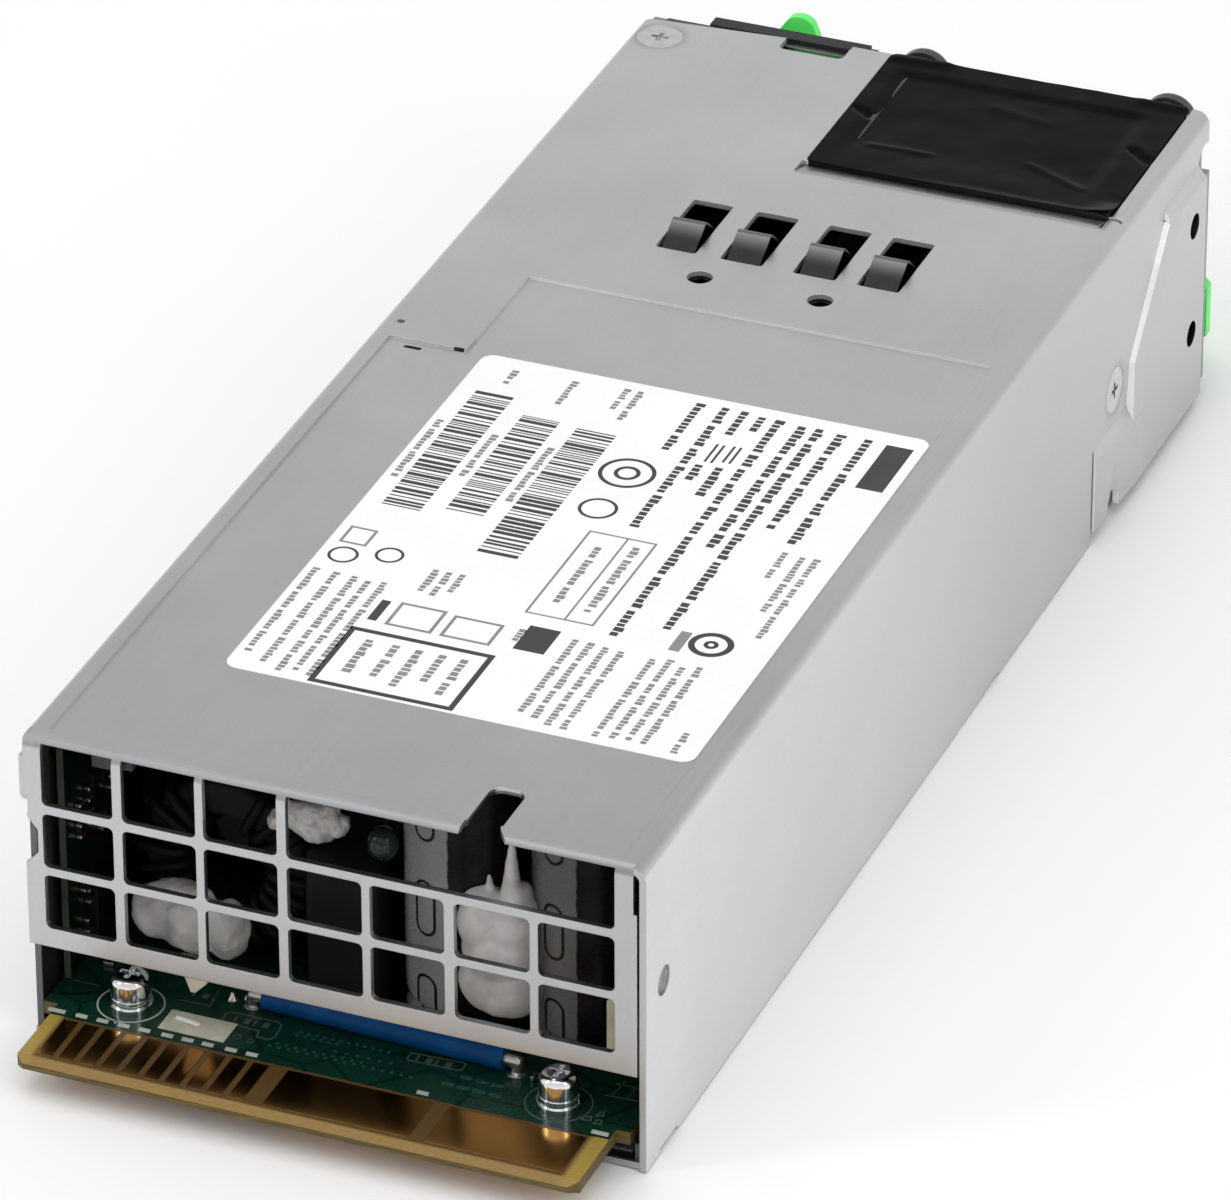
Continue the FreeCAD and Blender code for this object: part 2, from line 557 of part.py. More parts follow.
# moulded inductor with the bead that sits on it
put("output_inductor", rbox(-7.4, 9.6, z1 + 0.1, 1.4, 21.6, 24.2, 0.8, "z"))
bead = Part.makeSphere(2.1, V(0, 0, 0))
m = FreeCAD.Matrix()
m.scale(1.0, 1.0, 1.15)
bead = bead.transformGeometry(m)
bead.translate(V(1.2, 9.4 + 2.6, 26.7))
put("thermistor_bead", bead)

# wire link across the board in its blue sleeve
bl = [(-12.4, 8.3, z1 + 0.05), (-12.4, 8.2, z1 + 1.6), (-10.6, 8.1, z1 + 1.6)]
p0, p1 = V(-11.6, 8.0, z1 + 1.42), V(17.6, 6.6, z1 + 1.42)
d = p1 - p0
ln = d.Length
d.normalize()
wire = fuse(Part.makeCylinder(0.75, ln + 3.0, p0 - d * 1.5, d), Part.makeSphere(0.75, p0 - d * 1.5),
            Part.makeSphere(0.75, p1 + d * 1.5),
            Part.makeCylinder(0.75, 3.0, p0 - d * 1.5, V(0, 0, -1)), Part.makeCylinder(0.75, 3.0, p1 + d * 1.5, V(0, 0, -1)))
put("link_wire", wire)
slv = Part.makeCylinder(1.35, ln, p0, d).cut(Part.makeCylinder(0.78, ln + 2, p0 - d, d))
put("link_sleeve", slv)
for s_ in (-1.5, ln + 1.5):
    q = p0 + d * s_
    holes.append(cyl((q.x, q.y, z0 - 1), (0, 0, 1), 0.8, 4))

# adhesive that ties the parts together: three plain pads
def pad(x0, y0, z0_, x1, y1, z1_, r):
    b = box(x0, y0, z0_, x1, y1, z1_)
    return b.makeFillet(r, b.Edges)


b1 = box(12.6, 7.0, 8.0, 20.8, 12.4, 24.5)
b1 = b1.makeFillet(1.2, [e for e in b1.Edges if abs(e.BoundBox.YMax - 7.0) < 1e-4])
b1 = cut(b1, cyl((CAPS[0][0], CAPS[0][1], z1), (0, 0, 1), 7.05, 36), cyl((CAPS[1][0], CAPS[1][1], z1), (0, 0, 1), 7.05, 36))
b2 = pad(-29.4, 10.4, 9.4, -13.4, 13.9, 18.6, 1.5)
b3 = pad(-12.0, 10.4, 24.4, -2.8, 13.9, 28.4, 1.5)
put("adhesive", b1, b2, b3)

# daughter board on the left wall with its parts
put("control_board", box(-34.7, 5.2, z1 + 0.1, -33.9, 50.0, 34.5))
cb_parts = []
for k in range(5):
    cb_parts.append(box(-33.9, 10.0 + 7.6 * k, 8.0 + (k % 2) * 9.0, -32.6, 15.0 + 7.6 * k, 14.0 + (k % 2) * 9.0))
    cb_parts.append(box(-33.9, 11.0 + 7.6 * k, 25.5, -33.1, 12.3 + 7.6 * k, 28.2))
    cb_parts.append(box(-33.9, 13.6 + 7.6 * k, 25.5, -33.1, 14.9 + 7.6 * k, 28.2))
put("control_board_chips", *cb_parts)

# ----------------------------------------------------------------------------
# Rectifier heat sink, transistors, transformer, resonant choke
# ----------------------------------------------------------------------------
hs = fuse(box(-30.4, 36.4, z1 + 0.1, 33.2, 38.0, 35.6), box(-30.4, 36.4, 34.6, 33.2, 42.0, 35.6))
put("heat_sinks", hs)
fet = []
for k in range(5):
    xa = -27.0 + 12.2 * k
    fet.append(fuse(box(xa, 34.2, 11.0, xa + 10.0, 36.3, 25.0),
                    *[box(xa + 1.4 + 2.9 * q, 35.0, z1 + 0.05, xa + 2.4 + 2.9 * q, 35.5, 11.2) for q in range(3)]))
put("power_transistors", *fet)
# main transformer: ferrite E cores with taped winding
tc = box(-16.0, 45.0, z1 + 1.6, 16.0, 69.0, 33.6)
win1 = box(-11.0, 44.0, z1 + 7.0, -4.8, 70.0, 28.2)
win2 = box(4.8, 44.0, z1 + 7.0, 11.0, 70.0, 28.2)
put("transformer_core", cut(tc, win1, win2))
wt = cut(rbox(-10.8, 42.4, z1 + 7.2, 10.8, 71.6, 28.0, 2.0, "z"), box(-5.0, 45.0, z1, 5.0, 69.0, 34.0))
wt = cut(wt, box(-5.0, 44.9, z1 + 7.0, 5.0, 69.1, 28.5))
put("transformer_winding", wt)
put("small_transformers", rbox(20.0, 44.5, z1 + 0.2, 33.0, 58.5, 22.5, 1.0, "z"))
put("small_transformers", rbox(-30.6, 53.5, z1 + 0.2, -18.6, 66.5, 20.5, 1.0, "z"))

# ----------------------------------------------------------------------------
# Primary side
# ----------------------------------------------------------------------------
bc = cyl((17.6, 75.0, 20.6), (0, 1, 0), 15.0, 40.0)
bc = fil(bc, lambda e: e.BoundBox.YLength < 1e-4 and e.BoundBox.XLength > 5, 1.0)
put("bulk_capacitor", bc)
pc = cut(cyl((-15.6, 90.0, z1 + 1.7), (0, 0, 1), 12.0, 11.0), cyl((-15.6, 90.0, z1), (0, 0, 1), 6.4, 16.0))
pc = fil(pc, lambda e: e.Curve.TypeId == "Part::GeomCircle", 1.0)
put("boost_choke_core", pc)
pw = []
for k in range(24):
    if k in (11, 12):
        continue
    ang = 2 * math.pi * k / 24
    rad = V(math.cos(ang), math.sin(ang), 0)
    c0 = V(-15.6, 90.0, z1 + 7.2)
    ri, ro, zz, w = 5.55, 12.85, 6.35, 0.7
    pts = [c0 + rad * ri + V(0, 0, -zz), c0 + rad * ro + V(0, 0, -zz), c0 + rad * ro + V(0, 0, zz), c0 + rad * ri + V(0, 0, zz)]
    es = []
    for q in range(4):
        a_, b_ = pts[q], pts[(q + 1) % 4]
        d_ = b_ - a_
        L_ = d_.Length
        d_.normalize()
        es.append(Part.makeCylinder(w, L_, a_, d_))
        es.append(Part.makeSphere(w, a_))
    pw.append(fuse(*es))
put("boost_choke_winding", *pw)
ph = fuse(box(-34.6, 70.0, z1 + 0.1, -32.8, 122.0, 34.5), box(-34.6, 70.0, 33.5, -28.8, 122.0, 34.5))
put("heat_sinks", ph)
pt = []
for k in range(3):
    ya = 71.0 + 11.6 * k
    pt.append(fuse(box(-32.7, ya, 19.8, -30.6, ya + 10.0, 32.0),
                   *[box(-31.9, ya + 1.4 + 2.9 * q, z1 + 0.05, -31.4, ya + 2.4 + 2.9 * q, 20.0) for q in range(3)]))
put("power_transistors", *pt)
put("bridge_rectifier", fuse(box(-32.7, 107.0, 9.0, -29.4, 121.0, 27.0),
                             *[box(-31.4, 108.2 + 3.6 * q, z1 + 0.05, -30.8, 109.2 + 3.6 * q, 9.2) for q in range(4)]))
# mains filter
ec = cut(cyl((22.0, 131.0, z1 + 1.6), (0, 0, 1), 9.4, 9.0), cyl((22.0, 131.0, z1), (0, 0, 1), 5.0, 14.0))
put("filter_choke_core", ec)
ew = []
for side in (-1, 1):
    for k in range(6):
        ang = math.radians(side * 90 + (k - 2.5) * 22.0)
        rad = V(math.cos(ang), math.sin(ang), 0)
        c0 = V(22.0, 131.0, z1 + 6.1)
        ri, ro, zz, w = 4.2, 10.2, 5.3, 0.65
        pts = [c0 + rad * ri + V(0, 0, -zz), c0 + rad * ro + V(0, 0, -zz), c0 + rad * ro + V(0, 0, zz), c0 + rad * ri + V(0, 0, zz)]
        es = []
        for q in range(4):
            a_, b_ = pts[q], pts[(q + 1) % 4]
            d_ = b_ - a_
            L_ = d_.Length
            d_.normalize()
            es.append(Part.makeCylinder(w, L_, a_, d_))
            es.append(Part.makeSphere(w, a_))
        ew.append(fuse(*es))
put("filter_choke_winding", *ew)
put("film_capacitors", rbox(-2.0, 120.0, z1 + 0.1, 6.0, 138.0, 19.0, 0.6, "z"), rbox(-26.0, 140.0, z1 + 0.1, -8.0, 146.5, 16.5, 0.6, "z"))
put("disc_components", *[cut(cyl((x_, y_, 13.6), (0, 1, 0), 3.6, 3.0), box(-90, 0, 0, 90, 1, 1)) for (x_, y_) in
                            ((-13.0, 109.5), (-5.5, 109.5), (-13.0, 132.0), (-5.5 - 7.5 - 7.5, 132.0))])
fz_ = fuse(cyl((-24.5, 125.2, z1 + 4.0), (1, 0, 0), 2.6, 3.2), cyl((-21.4, 125.2, z1 + 4.0), (1, 0, 0), 2.35, 13.6),
           cyl((-8.0, 125.2, z1 + 4.0), (1, 0, 0), 2.6, 3.2))
put("input_fuse", fz_)
put("inrush_relay", rbox(-26.0, 104.6, z1 + 0.1, -18.0, 120.0, 19.5, 0.5, "z"))
put("disc_components", cyl((-11.0, 117.0, 13.0), (0, 1, 0), 5.0, 3.6))

# ----------------------------------------------------------------------------
# Fan
# ----------------------------------------------------------------------------
hf = FAN_S / 2.0
frame = rbox(fx - hf, FAN_Y0, fz - hf, fx + hf, FAN_Y1, fz + hf, 1.6, "y")
frame = cut(frame, cyl((fx, FAN_Y0 - 1, fz), (0, 1, 0), 17.9, 40))
# the frame is waisted between its two flanges
waist = box(fx - hf - 1, FAN_Y0 + 4.0, fz - hf - 1, fx + hf + 1, FAN_Y1 - 4.0, fz + hf + 1)
waist = cut(waist, cyl((fx, FAN_Y0, fz), (0, 1, 0), 18.75, 40))
corner = []
for sx in (-1, 1):
    for sz in (-1, 1):
        cxh, czh = fx + sx * FAN_PITCH / 2, fz + sz * FAN_PITCH / 2
        corner.append(cyl((cxh, FAN_Y0 - 1, czh), (0, 1, 0), 3.0, 40))
waist = cut(waist, *[box(min(fx + sx * 12.0, fx + sx * 25.0), FAN_Y0 - 1, min(fz + sz * 12.0, fz + sz * 25.0),
                         max(fx + sx * 12.0, fx + sx * 25.0), FAN_Y1 + 1, max(fz + sz * 12.0, fz + sz * 25.0))
                     for sx in (-1, 1) for sz in (-1, 1)])
frame = cut(frame, waist)
for sx in (-1, 1):
    for sz in (-1, 1):
        frame = cut(frame, cyl((fx + sx * FAN_PITCH / 2, FAN_Y0 - 1, fz + sz * FAN_PITCH / 2), (0, 1, 0), 1.7, 40))
hub = cyl((fx, 179.6, fz), (0, 1, 0), 9.6, 4.0)
struts = []
for k in range(5):
    ang = 18 + 72 * k
    st = box(8.0, 179.8, -0.9, 18.6, 183.5, 0.9)
    st.rotate(V(0, 0, 0), V(0, 1, 0), ang)
    st.translate(V(fx, 0, fz))
    struts.append(st)
frame = fuse(frame, hub, *struts)
frame = cut(frame, cyl((fx, 175.0, fz), (0, 1, 0), 2.4, 7.2))
frame = fuse(frame, cut(cyl((fx, 166.0, fz), (0, 1, 0), 3.0, 14.0), cyl((fx, 160.0, fz), (0, 1, 0), 2.4, 22.2)))
# shallow pocket for the film and two notches in the top edge
frame = cut(frame, box(-0.6, 158.8, 38.0, 30.6, 180.4, 40),
            box(-5, 168.2, 37.7, -1.2, 170.4, 40), box(30.8, 169.4, 37.7, 36, 172.4, 40))
put("fan_housing", frame)
# stator on the housing's centre tube, bearings inside the tube
stat = cut(cyl((fx, 167.0, fz), (0, 1, 0), 7.4, 9.0), cyl((fx, 160.0, fz), (0, 1, 0), 3.02, 30))
for k in range(4):
    sl = box(4.4, 166.0, -1.0, 8.0, 177.0, 1.0)
    sl.rotate(V(0, 0, 0), V(0, 1, 0), 45 + 90 * k)
    sl.translate(V(fx, 0, fz))
    stat = cut(stat, sl)
put("fan_stator", stat)
brg = [cut(cyl((fx, ya, fz), (0, 1, 0), 2.38, 2.5), cyl((fx, ya - 1, fz), (0, 1, 0), 1.03, 5)) for ya in (167.0, 178.0)]
put("fan_bearings", *brg)
# rotor: cup, shaft and seven blades
cup = cut(cyl((fx, 158.6, fz), (0, 1, 0), 9.4, 20.4), cyl((fx, 161.2, fz), (0, 1, 0), 8.2, 30))
cup = fil(cup, lambda e: abs(e.BoundBox.YMin - 158.6) < 1e-4 and e.BoundBox.YLength < 1e-4, 1.0)
blades = []
NB = 7
for k in range(NB):
    secs = []
    for (rr, pitch, chord) in ((8.3, 36.0, 12.0), (12.8, 31.0, 13.4), (17.15, 26.0, 14.6)):
        # section seen from outside at radius rr: a thin rounded strip
        a_ = math.radians(pitch)
        dy, dt = math.cos(a_) * chord / 2, math.sin(a_) * chord / 2
        ny, nt = -math.sin(a_) * 0.45, math.cos(a_) * 0.45
        pl = []
        for (sy, st_) in ((-1, -1), (1, -1), (1, 1), (-1, 1)):
            yy = sy * dy + st_ * ny
            tt = sy * dt + st_ * nt
            pl.append(V(tt, 168.6 + yy, rr))
        secs.append(Part.makePolygon(pl + [pl[0]]))
    bl_ = Part.makeLoft(secs, True, True)
    bl_.rotate(V(0, 0, 0), V(0, 1, 0), 360.0 * k / NB)
    bl_.translate(V(fx, 0, fz))
    blades.append(bl_)
shaft = cyl((fx, 160.0, fz), (0, 1, 0), 1.0, 20.8)
rotor = fuse(cup, *blades)
put("fan_rotor", rotor)
put("fan_shaft", cut(cyl((fx, 161.2, fz), (0, 1, 0), 1.0, 19.4), box(0, 0, 0, 1, 1, 1)))

# film over the fan opening in the cover and in the tray
put("fan_films", fuse(rbox(WX0 + 0.1, 155.0, 38.62, WX1 - 0.1, LENGTH - 0.2, 38.82, 1.1, "z")))
put("fan_films", rbox(WX0 + 0.1, 155.3, 0.1, 34.5, 183.9, 0.3, 0.7, "z"))

# guard: rings, radial wires and a loop round each screw
gr = []
gy = 187.0
for R_ in (6.0, 11.5, 17.0):
    gr.append(Part.makeTorus(R_, 0.6, V(fx, gy, fz), V(0, 1, 0)))
for k in range(4):
    ang = math.radians(45 + 90 * k)
    dx, dz = math.cos(ang), math.sin(ang)
    r_out = FAN_PITCH / 2 * math.sqrt(2) - 2.6
    k1 = V(fx + dx * 5.6, gy - 1.0, fz + dz * 5.6)
    k2 = V(fx + dx * 17.4, gy - 1.0, fz + dz * 17.4)
    k3 = V(fx + dx * r_out, 185.55, fz + dz * r_out)
    for s_, e_ in ((k1, k2), (k2, k3)):
        dd = e_ - s_
        L_ = dd.Length
        dd.normalize()
        gr.append(Part.makeCylinder(0.6, L_, s_, dd))
        gr.append(Part.makeSphere(0.6, s_))
    gr.append(Part.makeTorus(2.5, 0.6, V(fx + dx * FAN_PITCH / 2 * math.sqrt(2), 185.55, fz + dz * FAN_PITCH / 2 * math.sqrt(2)), V(0, 1, 0)))
put("fan_guard", fuse(*gr))
fs = []
for sx in (-1, 1):
    for sz in (-1, 1):
        x_, z_ = fx + sx * FAN_PITCH / 2, fz + sz * FAN_PITCH / 2
        hd = cyl((x_, 186.2, z_), (0, 1, 0), 3.4, 2.3)
        hd = fil(hd, lambda e: abs(e.BoundBox.YMin - 188.5) < 1e-4 and e.BoundBox.YLength < 1e-4, 1.3)
        sh = cyl((x_, 176.5, z_), (0, 1, 0), 1.6, 10.0)
        b_ = fuse(hd, sh)
        b_ = cut(b_, box(x_ - 1.5, 187.4, z_ - 0.3, x_ + 1.5, 189, z_ + 0.3), box(x_ - 0.3, 187.4, z_ - 1.5, x_ + 0.3, 189, z_ + 1.5))
        fs.append(b_)
put("fan_screws", *fs)

# ----------------------------------------------------------------------------
# Mains inlet
# ----------------------------------------------------------------------------
body = fuse(rbox(ix - 11.2, LENGTH, iz - 14.85, ix + 11.2, 187.1, iz + 14.85, 1.2, "y"),
            box(ix - 10.0, 167.0, iz - 13.7, ix + 10.0, LENGTH + 0.5, iz + 13.7))
cav = prism([(ix - 8.1, iz - 8.6), (ix - 8.1, iz + 8.6), (ix - 4.6, iz + 12.1), (ix + 8.1, iz + 12.1), (ix + 8.1, iz - 12.1),
             (ix - 4.6, iz - 12.1)], "y", 170.4, 190)
body = cut(body, cav)
PINS = [(ix + 1.6, iz - 7.0), (ix + 1.6, iz + 7.0), (ix - 2.4, iz)]
for (a, b) in PINS:
    body = cut(body, box(a - 2.0, 165, b - 1.0, a + 2.0, 171, b + 1.0))
put("inlet_housing", body)
pins = []
for (a, b) in PINS:
    p_ = rbox(a - 1.98, 162.6, b - 0.98, a + 1.98, 183.0, b + 0.98, 0.3, "y")
    p_ = cut(p_, box(a - 3, 162.0, b - 2, a + 3, 166.6, b - 0.4), box(a - 3, 162.0, b + 0.4, a + 3, 166.6, b + 2))
    pins.append(p_)
put("inlet_pins", *pins)

# wires from the inlet to the board, and the fan's lead
wires = []
for i, (a, b) in enumerate(PINS):
    xe = -26.0 + 6.0 * i
    zt = b + (0.0)
    wires.append(tube([(a, 162.55, zt), (a, 159.6, zt), (xe, 155.4, max(zt * 0.5, 8.0)), (xe, 155.4, z1 + 0.04)], 2.0))
put("inlet_wires", *wires)
put("fan_connector", fuse(box(-4.4, 146.4, z1 + 0.05, 3.4, 151.4, z1 + 6.0)))
put("fan_lead", tube([(-4.12, 158.4, 9.2), (-6.3, 158.4, 9.2), (-6.4, 154.4, 8.9), (-1.4, 153.9, 8.4), (-1.4, 151.42, 8.4)], 1.6))

# ----------------------------------------------------------------------------
# Pull handle: folding bail with bearing blocks and pins
# ----------------------------------------------------------------------------
hy, hz = HANDLE_P
ARM_R = (33.9, 35.2)
ARM_L = (-6.55, -4.65)
blocks = []
for (a, b) in ((32.45, 33.75), (-4.35, -3.0)):
    bb = fuse(box(a, LENGTH, 22.3, b, hy, 27.9), cyl((a, hy, hz), (1, 0, 0), 2.6, b - a))
    bb = cut(bb, cyl((a - 1, hy, hz), (1, 0, 0), 1.05, 6))
    blocks.append(bb)
put("handle_blocks", *blocks)
pinsh = [cyl((32.3, hy, hz), (1, 0, 0), 1.0, 3.0), cyl((-6.65, hy, hz), (1, 0, 0), 1.0, 3.95)]
pinsh = [pinsh[0], fuse(pinsh[1], cyl((-2.9, hy, hz), (1, 0, 0), 1.7, 0.6))]
put("handle_pins", *pinsh)


def arm(a, b):
    s = fuse(cyl((a, hy, hz), (1, 0, 0), 2.5, b - a),
             prism([(hy - 1.9, hz), (hy + 1.9, hz), (hy + 2.2, 14.4), (190.2, 12.0), (190.2, 5.2), (188.7, 5.2), (188.7, 9.6), (187.2, 11.6),
                    (185.9, 14.0)], "x", a, b))
    return cut(s, cyl((a - 1, hy, hz), (1, 0, 0), 1.06, 6))


grip = prism([(-6.55, 188.7), (-4.65, 188.75), (-2.2, 190.2), (30.9, 190.2), (33.9, 188.75), (36.0, 188.7), (36.0, 190.3),
              (33.2, 193.4), (-3.4, 193.4), (-6.55, 189.8)], "z", 5.2, 12.0)
hnd = fuse(arm(*ARM_R), arm(*ARM_L), grip)
try:
    hnd = fil(hnd, lambda e: abs(e.BoundBox.YMin - 193.4) < 1e-3 and e.BoundBox.YLength < 1e-3 and e.BoundBox.XLength > 20, 1.2)
except Exception as ex:
    print("handle fillet skipped", ex)
put("handle", hnd)

# ----------------------------------------------------------------------------
# Release lever above the inlet: housing, rocker, pin, spring
# ----------------------------------------------------------------------------
ly, lz = LEVER_P
hx0, hx1 = -28.8, -6.9
back = prism([(hx0 + 1.0, 38.0), (hx1, 38.0), (hx1, 31.4), (hx0, 31.4), (hx0, 37.0)], "y", LENGTH, 186.5)
back = cut(back, box(-18.3, 184, 32.6, -9.7, 187, 39))
roof = box(-28.7, LENGTH + 0.05, 37.2, -8.0, 187.0, 38.2)
ck = [(186.4, 31.4), (190.2, 31.4), (190.6, 33.4), (189.6, 36.0), (186.4, 37.9)]
hous = fuse(back, roof, prism(ck, "x", hx0, hx0 + 1.8), prism(ck, "x", hx1 - 1.8, hx1))
hous = cut(hous, cyl((-40, ly, lz), (1, 0, 0), 0.78, 60))
put("lever_housing", hous)
put("lever_pin", cyl((hx0 + 0.1, ly, lz), (1, 0, 0), 0.75, hx1 - hx0 - 0.2))
lx0, lx1 = hx0 + 2.1, hx1 - 2.1
brl = cyl((lx0, ly, lz), (1, 0, 0), 1.45, lx1 - lx0)
bodyl = prism([(187.2, 33.0), (187.2, 35.0), (189.6, 35.2), (190.3, 35.2), (190.3, 32.8)], "x", lx0, lx1)
# thumb tongue with a rounded end, a little wider at its root
tx0, tx1 = -21.7, -16.3
tm = (tx0 + tx1) / 2.0
te = [seg((tx0 - 0.4, 190.0, 32.8), (tx0 - 0.4, 190.0, 35.4)),
      seg((tx0 - 0.4, 190.0, 35.4), (tx0 + 1.1, 190.0, 37.6)),
      arc3((tx0 + 1.1, 190.0, 37.6), (tm + 0.4, 190.0, 38.6), (tx1 - 0.7, 190.0, 37.8)),
      seg((tx1 - 0.7, 190.0, 37.8), (tx1, 190.0, 36.2)),
      seg((tx1, 190.0, 36.2), (tx1, 190.0, 32.8)),
      seg((tx1, 190.0, 32.8), (tx0 - 0.4, 190.0, 32.8))]
tong = Part.Face(Part.Wire(te)).extrude(V(0, 1.3, 0))
# inner arm that reaches the catch notch
armi = prism([(181.5, 36.3), (184.0, 36.3), (187.6, 34.9), (188.0, 34.0), (186.8, 33.2), (184.4, 34.2), (183.2, 35.2), (181.5, 35.4)],
             "x", -17.7, -10.3)
lev = fuse(brl, bodyl, tong, armi)
lev = cut(lev, cyl((-40, ly, lz), (1, 0, 0), 0.80, 60), box(-25.2, 186.0, 31.0, -22.6, 189.7, 36.5))
put("release_lever", lev)
# torsion spring in the lever's gap
spr = []
for k in range(4):
    spr.append(Part.makeTorus(1.25, 0.22, V(-24.8 + 0.4 * k + 0.1, ly, lz), V(1, 0, 0)))
leg1 = Part.makeCylinder(0.22, 2.4, V(-24.7, ly - 1.25, lz), V(0, 0, 1))
put("lever_spring", fuse(*spr, leg1))

# status light
put("status_light_pipe", fuse(cyl((-32.6, 178.0, 33.2), (0, 1, 0), 1.5, 8.4), cyl((-32.6, 184.95, 33.2), (0, 1, 0), 2.1, 0.6)))

# board sticker and rating label: thin pieces
put("board_sticker", box(-21.0, -0.1, z1, -13.1, 3.8, z1 + 0.08))
put("rating_label", rbox(-22.3, 22.1, zr, 33.2, 97.3, zr + 0.08, 1.6, "z"))

# open the lead holes in the board
parts["main_board"][0] = cut(parts["main_board"][0], *holes)

# ----------------------------------------------------------------------------
# write
# ----------------------------------------------------------------------------
off = V(0, -LENGTH / 2.0, 0)
count = 0
for name, sl in parts.items():
    out = []
    for s in sl:
        s = s.copy()
        s.translate(off)
        ss = s.Solids
        if len(ss) != 1:
            print("NOTE", name, "has", len(ss), "solids in one piece")
        for q in ss:
            if not q.isValid():
                print("INVALID", name)
            if q.Volume <= 0:
                print("BAD VOLUME", name, q.Volume)
            out.append(q)
    shp = out[0] if len(out) == 1 else Part.makeCompound(out)
    shp.exportStep("parts/%s.step" % name)
    count += 1
print("nodes", count)
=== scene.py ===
import math
import random

import bmesh
import bpy
from mathutils import Matrix, Vector, noise


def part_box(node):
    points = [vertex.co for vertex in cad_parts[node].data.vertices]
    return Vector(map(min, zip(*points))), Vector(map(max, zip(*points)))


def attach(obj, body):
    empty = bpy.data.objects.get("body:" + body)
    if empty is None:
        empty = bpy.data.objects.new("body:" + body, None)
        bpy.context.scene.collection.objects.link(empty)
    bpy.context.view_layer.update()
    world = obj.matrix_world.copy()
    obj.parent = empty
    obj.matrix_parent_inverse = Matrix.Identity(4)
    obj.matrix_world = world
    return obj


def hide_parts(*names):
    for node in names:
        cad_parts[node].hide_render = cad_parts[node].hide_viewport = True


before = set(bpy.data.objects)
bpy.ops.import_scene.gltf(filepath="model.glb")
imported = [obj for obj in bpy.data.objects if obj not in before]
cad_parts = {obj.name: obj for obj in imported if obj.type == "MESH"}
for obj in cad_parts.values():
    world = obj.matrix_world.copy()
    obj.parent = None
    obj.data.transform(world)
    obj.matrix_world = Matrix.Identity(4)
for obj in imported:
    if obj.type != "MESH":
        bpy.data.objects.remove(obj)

# the empty start file's own cube, light and camera are no part of this scene
for _n in ("Cube", "Light", "Camera"):
    _o = bpy.data.objects.get(_n)
    if _o is not None and _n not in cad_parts:
        bpy.data.objects.remove(_o)

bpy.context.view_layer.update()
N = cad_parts
HALF = 92.45            # half of the chassis length, mm: working y runs from the grille face


def mt(p):
    """A point in the part's working millimetres, in the row frame in metres."""
    return Vector((p[0] / 1000.0, (p[1] - HALF) / 1000.0, p[2] / 1000.0))


# ----------------------------------------------------------------------------
# Materials
# ----------------------------------------------------------------------------
def lin(r, g, b):
    def f(c):
        c /= 255.0
        return c / 12.92 if c <= 0.04045 else ((c + 0.055) / 1.055) ** 2.4
    return (f(r), f(g), f(b), 1.0)


